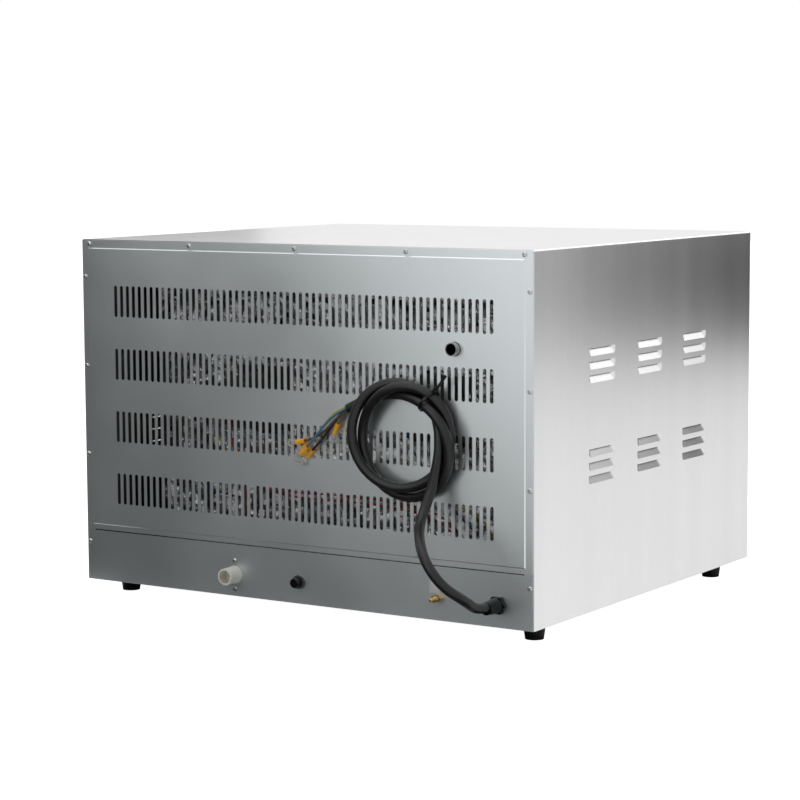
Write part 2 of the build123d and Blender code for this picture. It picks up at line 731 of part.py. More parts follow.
# Oven chamber: a drawn steel box, open at the front
wall_holes = [
    (list(fan_places.values()), SHAFT_R + SHAFT_CLEARANCE),
    (tail_places, ELEMENT_TUBE_R + FIT_GAP),
    ([outlet_place], OUTLET_BORE_R),
    ([pipe_place], PIPE_R + FIT_GAP),
]
with BuildPart() as oven_chamber:
    with BuildSketch(rear_plane(SHELL_FRONT_Y)):
        with Locations((0, CHAMBER_Z)):
            RectangleRounded(
                CHAMBER_W + 2 * CHAMBER_T,
                CHAMBER_H + 2 * CHAMBER_T,
                CHAMBER_CORNER + CHAMBER_T,
            )
    extrude(amount=CHAMBER_D + CHAMBER_T)
    with BuildSketch(rear_plane(SHELL_FRONT_Y)):
        with Locations((0, CHAMBER_Z)):
            RectangleRounded(CHAMBER_W, CHAMBER_H, CHAMBER_CORNER)
    extrude(amount=CHAMBER_D, mode=Mode.SUBTRACT)
    with BuildSketch(rear_plane(WALL_BACK_Y)):
        for places, hole_r in wall_holes:
            with Locations(*mirrored(places)):
                Circle(hole_r)
    extrude(amount=-CHAMBER_T, mode=Mode.SUBTRACT)
    with BuildSketch(Plane(origin=(CHAMBER_W / 2, lamp_y, lamp_z), z_dir=(1, 0, 0))):
        Circle(LAMP_BODY_R + FIT_GAP)
    extrude(amount=CHAMBER_T, mode=Mode.SUBTRACT)
finish(oven_chamber, "oven_chamber")

# Insulation blanket: wraps the top, bottom, sides and back of the chamber
blanket_front_y = SHELL_FRONT_Y + BLANKET_FRONT_GAP
blanket_holes = [
    (list(fan_places.values()), SHAFT_R + SHAFT_CLEARANCE),
    (leg_places, MOTOR_LEG_R + FIT_GAP),
    (tail_places, ELEMENT_COLLAR_R + FIT_GAP),
    ([outlet_place], OUTLET_SLEEVE_R + FIT_GAP),
    ([pipe_place], PIPE_R + FIT_GAP),
]
with BuildPart() as insulation_blanket:
    with BuildSketch(rear_plane(blanket_front_y)):
        with Locations((0, CHAMBER_Z)):
            RectangleRounded(
                CHAMBER_W + 2 * (CHAMBER_T + BLANKET_T),
                CHAMBER_H + 2 * (CHAMBER_T + BLANKET_T),
                CHAMBER_CORNER + CHAMBER_T + BLANKET_T,
            )
    extrude(amount=BLANKET_BACK_Y - blanket_front_y)
    with BuildSketch(rear_plane(blanket_front_y)):
        with Locations((0, CHAMBER_Z)):
            RectangleRounded(
                CHAMBER_W + 2 * CHAMBER_T,
                CHAMBER_H + 2 * CHAMBER_T,
                CHAMBER_CORNER + CHAMBER_T,
            )
    extrude(amount=WALL_BACK_Y - blanket_front_y, mode=Mode.SUBTRACT)
    with BuildSketch(rear_plane(BLANKET_BACK_Y)):
        for places, hole_r in blanket_holes:
            with Locations(*mirrored(places)):
                Circle(hole_r)
    extrude(amount=-BLANKET_T, mode=Mode.SUBTRACT)
    with BuildSketch(Plane(origin=(CHAMBER_W / 2 + CHAMBER_T, lamp_y, lamp_z), z_dir=(1, 0, 0))):
        Circle(LAMP_BODY_R + FIT_GAP)
    extrude(amount=BLANKET_T, mode=Mode.SUBTRACT)
finish(insulation_blanket, "insulation_blanket")

# Fan baffle: screens the fans and the heating elements from the trays
baffle_back_y = BAFFLE_Y + BAFFLE_T
baffle_w = CHAMBER_W - 2 * BAFFLE_SIDE_GAP
baffle_h = CHAMBER_H - 2 * BAFFLE_TOP_GAP
post_span_x = baffle_w - 2 * BAFFLE_POST_SIDE_INSET
post_span_z = baffle_h - 2 * BAFFLE_POST_END_INSET
with BuildPart() as fan_baffle:
    with BuildSketch(rear_plane(BAFFLE_Y)):
        with Locations((0, CHAMBER_Z)):
            Rectangle(baffle_w, baffle_h)
        for x, z in fan_places.values():
            with Locations((-x, z)):
                with PolarLocations(INTAKE_INNER_R + INTAKE_SLOT_L / 2, INTAKE_SLOTS):
                    SlotOverall(INTAKE_SLOT_L, INTAKE_SLOT_W, mode=Mode.SUBTRACT)
    extrude(amount=BAFFLE_T)
    with BuildSketch(rear_plane(baffle_back_y)):
        with Locations((0, CHAMBER_Z)):
            with GridLocations(post_span_x, post_span_z, 2, 2):
                Circle(BAFFLE_POST_R)
    extrude(amount=CHAMBER_BACK_Y - baffle_back_y)
finish(fan_baffle, "fan_baffle")

# Fan wheels, their shafts and their motors
motor_back_y = MOTOR_FRONT_Y + MOTOR_PLATE_T + MOTOR_L
shaft_end_y = MOTOR_FRONT_Y + SHAFT_DEPTH
fan_front_y = FAN_BACK_Y - FAN_DEPTH
for side_name, (x, z) in fan_places.items():
    with BuildPart() as fan_wheel:
        with BuildSketch(rear_plane(FAN_BACK_Y)):
            with Locations((-x, z)):
                Circle(FAN_R)
        extrude(amount=-FAN_PLATE_T)
        with BuildSketch(rear_plane(FAN_BACK_Y)):
            with Locations((-x, z)):
                with PolarLocations(FAN_BLADE_R, FAN_BLADES):
                    Rectangle(FAN_BLADE_L, FAN_BLADE_T, rotation=FAN_BLADE_ANGLE)
                Circle(FAN_HUB_R)
        extrude(amount=-FAN_DEPTH)
        with BuildSketch(rear_plane(fan_front_y)):
            with Locations((-x, z)):
                Circle(FAN_R)
                Circle(FAN_RING_R, mode=Mode.SUBTRACT)
        extrude(amount=FAN_RING_T)
        with BuildSketch(rear_plane(FAN_BACK_Y)):
            with Locations((-x, z)):
                Circle(SHAFT_R)
        extrude(amount=-FAN_DEPTH, mode=Mode.SUBTRACT)
    finish(fan_wheel, f"fan_wheel_{side_name}")

    with BuildPart() as fan_shaft:
        with BuildSketch(rear_plane(fan_front_y)):
            with Locations((-x, z)):
                Circle(SHAFT_R)
        extrude(amount=shaft_end_y - fan_front_y)
    finish(fan_shaft, f"fan_shaft_{side_name}")

    with BuildPart() as fan_motor:
        with BuildSketch(rear_plane(MOTOR_FRONT_Y + MOTOR_PLATE_T)):
            with Locations((-x, z)):
                Circle(MOTOR_R)
        extrude(amount=MOTOR_L)
        fillet(fan_motor.edges().group_by(Axis.Y)[-1], MOTOR_EDGE)
        with BuildSketch(rear_plane(motor_back_y)):
            with Locations((-x, z)):
                Circle(MOTOR_CAP_R)
        extrude(amount=MOTOR_CAP_T)
        with BuildSketch(rear_plane(MOTOR_FRONT_Y)):
            with Locations((-x, z)):
                Rectangle(MOTOR_PLATE, MOTOR_PLATE)
        extrude(amount=MOTOR_PLATE_T)
        with BuildSketch(rear_plane(WALL_BACK_Y)):
            with Locations((-x, z)):
                with GridLocations(MOTOR_LEG_SPREAD, MOTOR_LEG_SPREAD, 2, 2):
                    Circle(MOTOR_LEG_R)
        extrude(amount=MOTOR_FRONT_Y - WALL_BACK_Y)
        with BuildSketch(rear_plane(MOTOR_FRONT_Y)):
            with Locations((-x, z)):
                Circle(SHAFT_R + BEARING_GAP)
        extrude(amount=SHAFT_DEPTH + FIT_GAP, mode=Mode.SUBTRACT)
    finish(fan_motor, f"fan_motor_{side_name}")

# Heating elements: a ring round each fan with two tails through the back wall
element_y = CHAMBER_BACK_Y - ELEMENT_DEPTH
tail_end_y = BLANKET_BACK_Y + ELEMENT_TAIL
ring_dx = ELEMENT_R * sin(element_gap)
ring_dz = ELEMENT_R * cos(element_gap)
bend_y = element_y + ELEMENT_BEND
for side_name, (x, z) in fan_places.items():
    tail_z = z - tail_drop
    with BuildPart() as heating_element:
        with BuildLine():
            Line((x + tail_x, tail_end_y, tail_z), (x + tail_x, bend_y, tail_z))
            TangentArc(
                (x + tail_x, bend_y, tail_z),
                (x + ring_dx, element_y, z - ring_dz),
                tangent=(0, -1, 0),
            )
            ThreePointArc(
                (x + ring_dx, element_y, z - ring_dz),
                (x, element_y, z + ELEMENT_R),
                (x - ring_dx, element_y, z - ring_dz),
            )
            TangentArc(
                (x - ring_dx, element_y, z - ring_dz),
                (x - tail_x, bend_y, tail_z),
                tangent=(cos(element_gap), 0, -sin(element_gap)),
            )
            Line((x - tail_x, bend_y, tail_z), (x - tail_x, tail_end_y, tail_z))
        with BuildSketch(Plane(origin=(x + tail_x, tail_end_y, tail_z), z_dir=(0, -1, 0))):
            Circle(ELEMENT_TUBE_R)
        sweep()
        with BuildSketch(rear_plane(WALL_BACK_Y)):
            with Locations((-x - tail_x, tail_z), (-x + tail_x, tail_z)):
                Circle(ELEMENT_COLLAR_R)
        extrude(amount=ELEMENT_COLLAR_T)
    finish(heating_element, f"heating_element_{side_name}")

# Racks: two posts and four wire rails on each side, on arms from the chamber wall
rack_front_y = SHELL_FRONT_Y + RACK_FRONT_GAP
rack_back_y = BAFFLE_Y - RACK_BACK_GAP
rack_low_z = CHAMBER_FLOOR_Z + RACK_POST_RISE
rack_high_z = CHAMBER_FLOOR_Z + CHAMBER_H - RACK_TOP_GAP
first_rail_z = CHAMBER_FLOOR_Z + RACK_FIRST
rack_levels = int((rack_high_z - RACK_LAST_ROOM - first_rail_z) / RACK_PITCH) + 1
for side_name, side in (("left", -1), ("right", 1)):
    wall_x = side * CHAMBER_W / 2
    post_x = wall_x - side * RACK_STANDOFF
    rail_x = post_x - side * RACK_RAIL_REACH
    with BuildPart() as rack:
        with BuildSketch(Plane.XY.offset(rack_low_z)):
            with Locations((post_x, rack_front_y), (post_x, rack_back_y)):
                Circle(RACK_POST_R)
        extrude(amount=rack_high_z - rack_low_z)
        for y in (rack_front_y, rack_back_y):
            for z in (rack_low_z + RACK_ARM_INSET, rack_high_z - RACK_ARM_INSET):
                with BuildSketch(Plane(origin=(wall_x, y, z), z_dir=(-side, 0, 0))):
                    Circle(RACK_POST_R)
                extrude(amount=RACK_STANDOFF)
                with BuildSketch(Plane(origin=(wall_x, y, z), z_dir=(-side, 0, 0))):
                    Circle(RACK_PAD_R)
                extrude(amount=RACK_PAD_T)
        for level in range(rack_levels):
            rail_z = first_rail_z + level * RACK_PITCH
            with BuildLine():
                FilletPolyline(
                    (post_x, rack_front_y, rail_z),
                    (rail_x, rack_front_y, rail_z),
                    (rail_x, rack_back_y, rail_z),
                    (post_x, rack_back_y, rail_z),
                    radius=RACK_RAIL_BEND,
                )
            with BuildSketch(Plane(origin=(post_x, rack_front_y, rail_z), z_dir=(-side, 0, 0))):
                Circle(RACK_WIRE_R)
            sweep()
    finish(rack, f"rack_{side_name}")

# Oven lamp in the right chamber wall
with BuildPart() as oven_lamp:
    with BuildSketch(Plane(origin=(CHAMBER_W / 2, lamp_y, lamp_z), z_dir=(-1, 0, 0))):
        Circle(LAMP_R)
    extrude(amount=LAMP_DOME_H)
    fillet(oven_lamp.edges().group_by(Axis.X)[0], LAMP_EDGE)
    with BuildSketch(Plane(origin=(CHAMBER_W / 2, lamp_y, lamp_z), z_dir=(1, 0, 0))):
        Circle(LAMP_BODY_R)
    extrude(amount=LAMP_DEPTH)
finish(oven_lamp, "oven_lamp")

# Door gasket: a flat ring on the front frame round the chamber mouth
with BuildPart() as door_gasket:
    with BuildSketch(front_plane(FRONT_Y)):
        with Locations((0, CHAMBER_Z)):
            RectangleRounded(
                CHAMBER_W + 2 * (GASKET_INSET + GASKET_W),
                CHAMBER_H + 2 * (GASKET_INSET + GASKET_W),
                CHAMBER_CORNER + GASKET_INSET + GASKET_W,
            )
            RectangleRounded(
                CHAMBER_W + 2 * GASKET_INSET,
                CHAMBER_H + 2 * GASKET_INSET,
                CHAMBER_CORNER + GASKET_INSET,
                mode=Mode.SUBTRACT,
            )
    extrude(amount=DOOR_GAP - FIT_GAP)
finish(door_gasket, "door_gasket")

# Door: a hollow pressed front, a flat inner panel and two panes between them
door_mid_z = DOOR_Z + DOOR_H / 2
inner_panel_y = DOOR_BACK_Y - DOOR_SHEET
front_sheet_y = DOOR_FRONT_Y + DOOR_SHEET
with BuildPart() as door_frame:
    with BuildSketch(front_plane(inner_panel_y)):
        with Locations((0, door_mid_z)):
            RectangleRounded(DOOR_W, DOOR_H, DOOR_CORNER)
    extrude(amount=DOOR_T - DOOR_SHEET)
    with BuildSketch(front_plane(inner_panel_y)):
        with Locations((0, door_mid_z)):
            RectangleRounded(DOOR_W - 2 * DOOR_SHEET, DOOR_H - 2 * DOOR_SHEET, DOOR_CORNER - DOOR_SHEET)
    extrude(amount=DOOR_T - 2 * DOOR_SHEET, mode=Mode.SUBTRACT)
    with BuildSketch(front_plane(front_sheet_y)):
        with Locations((0, WINDOW_Z)):
            RectangleRounded(WINDOW_W, WINDOW_H, WINDOW_CORNER)
    extrude(amount=DOOR_SHEET, mode=Mode.SUBTRACT)
    with BuildSketch(front_plane(inner_panel_y)):
        with Locations((0, DOOR_Z)):
            with GridLocations(DOOR_W - HINGE_BLOCK_L, 0, 2, 1):
                Rectangle(HINGE_BLOCK_L, HINGE_BLOCK_H, align=(Align.CENTER, Align.MIN))
    extrude(amount=HINGE_BLOCK_D)
    for side in (-1, 1):
        with BuildSketch(Plane(origin=(side * DOOR_W / 2, HINGE_Y, HINGE_Z), z_dir=(-side, 0, 0))):
            Circle(HINGE_PIN_R + HINGE_PIN_GAP)
        extrude(amount=HINGE_BLOCK_L, mode=Mode.SUBTRACT)
finish(door_frame, "door_frame")

with BuildPart() as door_inner_panel:
    with BuildSketch(front_plane(DOOR_BACK_Y)):
        with Locations((0, door_mid_z)):
            RectangleRounded(DOOR_W, DOOR_H, DOOR_CORNER)
        with Locations((0, WINDOW_Z)):
            RectangleRounded(WINDOW_W, WINDOW_H, WINDOW_CORNER, mode=Mode.SUBTRACT)
    extrude(amount=DOOR_SHEET)
finish(door_inner_panel, "door_inner_panel")

for pane_name, pane_y in (
    ("door_outer_glass", front_sheet_y + GLASS_T),
    ("door_inner_glass", inner_panel_y),
):
    with BuildPart() as pane:
        with BuildSketch(front_plane(pane_y)):
            with Locations((0, WINDOW_Z)):
                Rectangle(WINDOW_W + 2 * GLASS_LAP, WINDOW_H + 2 * GLASS_LAP)
        extrude(amount=GLASS_T)
    finish(pane, pane_name)

# Door handle: a round bar on two posts
with BuildPart() as door_handle:
    with BuildSketch(Plane(origin=(-HANDLE_L / 2, HANDLE_Y, HANDLE_Z), z_dir=(1, 0, 0))):
        Circle(HANDLE_R)
    extrude(amount=HANDLE_L)
    fillet(door_handle.edges().filter_by(GeomType.CIRCLE), HANDLE_EDGE)
    with BuildSketch(front_plane(DOOR_FRONT_Y)):
        with Locations((0, HANDLE_Z)):
            with GridLocations(2 * HANDLE_POST_X, 0, 2, 1):
                Circle(HANDLE_POST_R)
    extrude(amount=HANDLE_REACH)
    with BuildSketch(front_plane(DOOR_FRONT_Y)):
        with Locations((0, HANDLE_Z)):
            with GridLocations(2 * HANDLE_POST_X, 0, 2, 1):
                Circle(HANDLE_FOOT_R)
    extrude(amount=HANDLE_FOOT_T)
finish(door_handle, "door_handle")

# Hinge brackets: a foot on the front frame, an ear beside the door and a pin into it
ear_x = DOOR_W / 2 + HINGE_EAR_SIDE_GAP
ear_reach = FRONT_Y - HINGE_Y
for side_name, side in (("left", -1), ("right", 1)):
    with BuildPart() as hinge_bracket:
        with BuildSketch(Plane(origin=(side * ear_x, HINGE_Y, HINGE_Z), x_dir=(0, 1, 0), z_dir=(side, 0, 0))):
            Circle(HINGE_EAR_R)
            Rectangle(ear_reach, 2 * HINGE_EAR_R, align=(Align.MIN, Align.CENTER))
        extrude(amount=HINGE_EAR_T)
        with BuildSketch(front_plane(FRONT_Y)):
            with Locations((side * (ear_x + HINGE_FOOT_W / 2), HINGE_Z - HINGE_EAR_R)):
                Rectangle(HINGE_FOOT_W, HINGE_FOOT_H, align=(Align.CENTER, Align.MIN))
        extrude(amount=HINGE_FOOT_T)
        with BuildSketch(Plane(origin=(side * ear_x, HINGE_Y, HINGE_Z), z_dir=(-side, 0, 0))):
            Circle(HINGE_PIN_R)
        extrude(amount=HINGE_PIN_L)
    finish(hinge_bracket, f"hinge_bracket_{side_name}")

# Knobs with their spindles, and the bodies that hold the spindles
spindle_end = KNOB_GAP + CONTROL_T + SPINDLE_DEPTH
for knob_name, (x, z) in zip(("temperature_knob", "timer_knob"), spindle_places):
    with BuildPart() as knob:
        with BuildSketch(front_plane(FRONT_Y - KNOB_GAP)):
            with Locations((x, z)):
                Circle(KNOB_R)
        extrude(amount=KNOB_H)
        fillet(knob.edges().group_by(Axis.Y)[0], KNOB_EDGE)
        with BuildSketch(front_plane(FRONT_Y - KNOB_GAP)):
            with Locations((x, z)):
                Circle(KNOB_SKIRT_R)
        extrude(amount=KNOB_SKIRT_H)
        with BuildSketch(front_plane(FRONT_Y - KNOB_GAP - KNOB_H)):
            with Locations((x, z + KNOB_R - KNOB_EDGE)):
                Rectangle(POINTER_W, POINTER_L, align=(Align.CENTER, Align.MAX))
        extrude(amount=-POINTER_DEPTH, mode=Mode.SUBTRACT)
        with BuildSketch(front_plane(FRONT_Y - KNOB_GAP)):
            with Locations((x, z)):
                Circle(SPINDLE_R)
        extrude(amount=-spindle_end)
    finish(knob, knob_name)

for body_name, (x, z) in zip(("temperature_thermostat", "timer_body"), spindle_places):
    with BuildPart() as control_body:
        with BuildSketch(rear_plane(SHELL_FRONT_Y)):
            with Locations((-x, z)):
                Rectangle(CONTROL_BODY, CONTROL_BODY)
        extrude(amount=CONTROL_BODY_D)
        with BuildSketch(rear_plane(SHELL_FRONT_Y)):
            with Locations((-x, z)):
                Circle(SPINDLE_R + SPINDLE_GAP)
        extrude(amount=SPINDLE_DEPTH + FIT_GAP, mode=Mode.SUBTRACT)
    finish(control_body, body_name)

# Steam button, the switch that carries it, and the indicator lamps
with BuildPart() as steam_switch:
    with BuildSketch(front_plane(FRONT_Y)):
        with Locations((STEAM_X, KNOB_Z)):
            Circle(STEAM_BEZEL_R)
    extrude(amount=STEAM_BEZEL_T)
    with BuildSketch(front_plane(FRONT_Y)):
        with Locations((STEAM_X, KNOB_Z)):
            Circle(STEAM_NECK_R)
    extrude(amount=-CONTROL_T)
    with BuildSketch(front_plane(SHELL_FRONT_Y)):
        with Locations((STEAM_X, KNOB_Z)):
            Rectangle(STEAM_BODY, STEAM_BODY)
    extrude(amount=-STEAM_BODY_L)
    with BuildSketch(front_plane(FRONT_Y - STEAM_BEZEL_T)):
        with Locations((STEAM_X, KNOB_Z)):
            Circle(STEAM_BUTTON_R + FIT_GAP)
    extrude(amount=-STEAM_BEZEL_T - STEAM_INSET - STEAM_TRAVEL - FIT_GAP, mode=Mode.SUBTRACT)
finish(steam_switch, "steam_switch")

with BuildPart() as steam_button:
    with BuildSketch(front_plane(FRONT_Y + STEAM_INSET)):
        with Locations((STEAM_X, KNOB_Z)):
            Circle(STEAM_BUTTON_R)
    extrude(amount=STEAM_INSET + STEAM_REACH)
    fillet(steam_button.edges().group_by(Axis.Y)[0], STEAM_EDGE)
finish(steam_button, "steam_button")

with BuildPart() as indicator_lamps:
    with BuildSketch(front_plane(FRONT_Y)):
        with Locations(*indicator_places):
            Circle(INDICATOR_LENS_R)
    extrude(amount=INDICATOR_LENS_T)
    fillet(indicator_lamps.edges().group_by(Axis.Y)[0], INDICATOR_EDGE)
    with BuildSketch(front_plane(FRONT_Y)):
        with Locations(*indicator_places):
            Circle(INDICATOR_R)
    extrude(amount=-INDICATOR_STEM)
finish(indicator_lamps, "indicator_lamps")

# Water valve: nipple through the plate, flange behind it, coil block and outlet barb
valve_y = SHELL_BACK_Y - VALVE_BARB_DEPTH
barb_top_z = FITTING_Z + VALVE_BARB_H
inlet_tip_y = BACK_Y + INLET_REACH
with BuildPart() as water_valve:
    with BuildSketch(rear_plane(SHELL_BACK_Y)):
        with Locations((-INLET_X, FITTING_Z)):
            Rectangle(VALVE_FLANGE_W, VALVE_FLANGE_H)
    extrude(amount=-VALVE_FLANGE_T)
    with BuildSketch(rear_plane(SHELL_BACK_Y - VALVE_FLANGE_T)):
        with Locations((-INLET_X, FITTING_Z)):
            Circle(VALVE_BODY_R)
    extrude(amount=-VALVE_BODY_L)
    with BuildSketch(Plane.XY.offset(FITTING_Z)):
        with Locations((INLET_X, valve_y)):
            Circle(PIPE_R + VALVE_BARB_WALL)
    extrude(amount=VALVE_BARB_H)
    with BuildSketch(rear_plane(valve_y - VALVE_BODY_R)):
        with Locations((-INLET_X, FITTING_Z)):
            Rectangle(VALVE_COIL, VALVE_COIL)
    extrude(amount=-VALVE_COIL)
    with BuildSketch(rear_plane(SHELL_BACK_Y)):
        with Locations((-INLET_X, FITTING_Z)):
            Circle(INLET_R)
    extrude(amount=inlet_tip_y - SHELL_BACK_Y)
    fillet(water_valve.edges().group_by(Axis.Y)[-1], INLET_EDGE)
    with BuildSketch(rear_plane(SHELL_BACK_Y)):
        with Locations((-INLET_X, FITTING_Z)):
            Circle(INLET_COLLAR_R)
    extrude(amount=PANEL_T + INLET_COLLAR_T)
    with BuildSketch(rear_plane(inlet_tip_y)):
        with Locations((-INLET_X, FITTING_Z)):
            Circle(INLET_MOUTH_R)
    extrude(amount=-INLET_MOUTH_DEPTH, mode=Mode.SUBTRACT)
    with BuildSketch(rear_plane(inlet_tip_y)):
        with Locations((-INLET_X, FITTING_Z)):
            Circle(INLET_BORE_R)
    extrude(amount=-INLET_REACH, mode=Mode.SUBTRACT)
    with BuildSketch(rear_plane(SHELL_BACK_Y)):
        with Locations(*mirrored(inlet_screws)):
            Circle(SCREW_R + SCREW_FIT)
    extrude(amount=-VALVE_FLANGE_T, mode=Mode.SUBTRACT)
    with BuildSketch(Plane.XY.offset(barb_top_z)):
        with Locations((INLET_X, valve_y)):
            Circle(PIPE_R)
    extrude(amount=-VALVE_SOCKET_DEPTH, mode=Mode.SUBTRACT)
finish(water_valve, "water_valve")

# Water pipe: from the valve's outlet up and forward into the chamber
pipe_low_z = barb_top_z - VALVE_SOCKET_DEPTH
with BuildPart() as water_pipe:
    with BuildLine():
        FilletPolyline(
            (INLET_X, valve_y, pipe_low_z),
            (INLET_X, valve_y, PIPE_TOP_Z),
            (INLET_X, CHAMBER_BACK_Y - PIPE_REACH, PIPE_TOP_Z),
            radius=PIPE_BEND,
        )
    with BuildSketch(Plane.XY.offset(pipe_low_z)):
        with Locations((INLET_X, valve_y)):
            Circle(PIPE_R)
            Circle(PIPE_BORE_R, mode=Mode.SUBTRACT)
    sweep()
finish(water_pipe, "water_pipe")

# Reset button of the safety thermostat
reset_floor_y = BORDER_Y - RESET_INSET
with BuildPart() as safety_thermostat:
    with BuildSketch(rear_plane(BORDER_Y)):
        with Locations((-RESET_X, FITTING_Z)):
            Circle(RESET_COLLAR_R)
    extrude(amount=RESET_COLLAR_T)
    with BuildSketch(rear_plane(SHELL_BACK_Y)):
        with Locations((-RESET_X, FITTING_Z)):
            Circle(RESET_NECK_R)
    extrude(amount=PANEL_T)
    with BuildSketch(rear_plane(SHELL_BACK_Y)):
        with Locations((-RESET_X, FITTING_Z)):
            Rectangle(RESET_BODY, RESET_BODY)
    extrude(amount=-RESET_BODY_D)
    with BuildSketch(rear_plane(reset_floor_y - RESET_TRAVEL - FIT_GAP)):
        with Locations((-RESET_X, FITTING_Z)):
            Circle(RESET_CAP_R + FIT_GAP)
    extrude(amount=RESET_INSET + RESET_TRAVEL + FIT_GAP + RESET_COLLAR_T, mode=Mode.SUBTRACT)
finish(safety_thermostat, "safety_thermostat")

with BuildPart() as reset_button:
    with BuildSketch(rear_plane(reset_floor_y)):
        with Locations((-RESET_X, FITTING_Z)):
            Circle(RESET_CAP_R)
    extrude(amount=BACK_Y + RESET_REACH - reset_floor_y)
    fillet(reset_button.edges().group_by(Axis.Y)[-1], RESET_EDGE)
finish(reset_button, "reset_button")

# Earth terminal: a brass stud held by a nut behind the plate and one outside
outer_nut_y = BORDER_Y + EARTH_NUT_T + EARTH_NUT_GAP
with BuildPart() as earth_terminal:
    with BuildSketch(rear_plane(SHELL_BACK_Y - EARTH_TAIL)):
        with Locations((-EARTH_X, FITTING_Z)):
            Circle(EARTH_R)
    extrude(amount=BACK_Y + EARTH_REACH - SHELL_BACK_Y + EARTH_TAIL)
    chamfer(earth_terminal.edges().group_by(Axis.Y)[-1], EARTH_EDGE)
    for nut_y in (SHELL_BACK_Y - EARTH_NUT_T, BORDER_Y, outer_nut_y):
        with BuildSketch(rear_plane(nut_y)):
            with Locations((-EARTH_X, FITTING_Z)):
                RegularPolygon(EARTH_NUT_AF / 2, 6, major_radius=False)
        extrude(amount=EARTH_NUT_T)
finish(earth_terminal, "earth_terminal")

# Steam outlet: a tube from the back wall of the chamber, turned down where it leaves the panel
with BuildPart() as steam_outlet_tube:
    with BuildSketch(rear_plane(WALL_BACK_Y)):
        with Locations((-OUTLET_X, OUTLET_Z)):
            Circle(OUTLET_SLEEVE_R)
    extrude(amount=BACK_Y + OUTLET_SHOULDER - WALL_BACK_Y)
    with BuildSketch(rear_plane(BACK_Y)):
        with Locations((-OUTLET_X, OUTLET_Z)):
            Circle(OUTLET_R)
    extrude(amount=OUTLET_REACH)
    with BuildSketch(rear_plane(WALL_BACK_Y)):
        with Locations((-OUTLET_X, OUTLET_Z)):
            Circle(OUTLET_BORE_R)
    extrude(amount=BACK_Y + OUTLET_REACH - WALL_BACK_Y, mode=Mode.SUBTRACT)
finish(steam_outlet_tube, "steam_outlet_tube")

# Cable gland: hex base, domed clamping nut and thread, with a locknut inside
gland_end_y = BACK_Y + GLAND_REACH
gland_base_y = BORDER_Y + GLAND_BASE_T
with BuildPart() as cable_gland:
    with BuildSketch(rear_plane(SHELL_BACK_Y - GLAND_THREAD_L)):
        with Locations((-GLAND_X, FITTING_Z)):
            Circle(GLAND_THREAD_R)
    extrude(amount=GLAND_THREAD_L + PANEL_T)
    with BuildSketch(rear_plane(BORDER_Y)):
        with Locations((-GLAND_X, FITTING_Z)):
            RegularPolygon(GLAND_AF / 2, 6, major_radius=False)
    extrude(amount=GLAND_BASE_T)
    with BuildSketch(rear_plane(gland_base_y)):
        with Locations((-GLAND_X, FITTING_Z)):
            Circle(GLAND_DOME_R)
    with BuildSketch(rear_plane(gland_end_y)):
        with Locations((-GLAND_X, FITTING_Z)):
            Circle(GLAND_MOUTH_R)
    loft()
    with BuildSketch(rear_plane(gland_end_y)):
        with Locations((-GLAND_X, FITTING_Z)):
            Circle(CABLE_D / 2)
    extrude(amount=SHELL_BACK_Y - GLAND_THREAD_L - gland_end_y, mode=Mode.SUBTRACT)
finish(cable_gland, "cable_gland")

with BuildPart() as gland_nut:
    with BuildSketch(rear_plane(SHELL_BACK_Y)):
        with Locations((-GLAND_X, FITTING_Z)):
            RegularPolygon(GLAND_NUT_AF / 2, 6, major_radius=False)
            Circle(GLAND_THREAD_R, mode=Mode.SUBTRACT)
    extrude(amount=-GLAND_NUT_T)
finish(gland_nut, "gland_nut")

# Terminal block on the base pan behind the gland
terminal_y = BACK_Y - TERMINAL_BACK
terminal_z = FOOT_H + SHEET
with BuildPart() as terminal_block:
    with BuildSketch(Plane.XY.offset(terminal_z)):
        with Locations((TERMINAL_X, terminal_y)):
            Rectangle(TERMINAL_W, TERMINAL_D)
    extrude(amount=TERMINAL_H)
    with BuildSketch(Plane.XY.offset(terminal_z + TERMINAL_H)):
        with Locations((TERMINAL_X, terminal_y)):
            with GridLocations(TERMINAL_PITCH, 0, TERMINAL_WELLS, 1):
                Circle(TERMINAL_WELL_R)
    extrude(amount=-TERMINAL_WELL_H, mode=Mode.SUBTRACT)
finish(terminal_block, "terminal_block")


# The power cable: a loose run, then three turns that wind round each other
def cable_place(point):
    """A place given from the left side, behind the back and above the bottom of the body."""
    across, behind, above = point
    return Vector(across - SIDE_X, BACK_Y + behind, FOOT_H + above)


def strand_phase(turn):
    """Angle of the cable round the bundle: a steady twist with a swing once a turn."""
    along = radians(turn - COIL_START)
    return radians(STRAND_PHASE) + STRAND_TWIST * along + radians(STRAND_SWING) * (1 - cos(along))


def strand_place(turn):
    """Centre of the coiled cable at an angle in degrees round the coil."""
    phase = strand_phase(turn)
    radius = COIL_R + STRAND_OFFSET * cos(phase)
    behind = COIL_STANDOFF + STRAND_OFFSET * sin(phase)
    angle = radians(turn)
    return Vector(COIL_X - radius * cos(angle), BACK_Y + behind, COIL_Z + radius * sin(angle))


def strand_direction(turn):
    """Unit direction of the coiled cable at an angle round the coil."""
    phase = strand_phase(turn)
    radius = COIL_R + STRAND_OFFSET * cos(phase)
    twist = STRAND_TWIST + radians(STRAND_SWING) * sin(radians(turn - COIL_START))
    growth = -STRAND_OFFSET * twist * sin(phase)
    rise = STRAND_OFFSET * twist * cos(phase)
    angle = radians(turn)
    return Vector(
        radius * sin(angle) - growth * cos(angle),
        rise,
        radius * cos(angle) + growth * sin(angle),
    ).normalized()


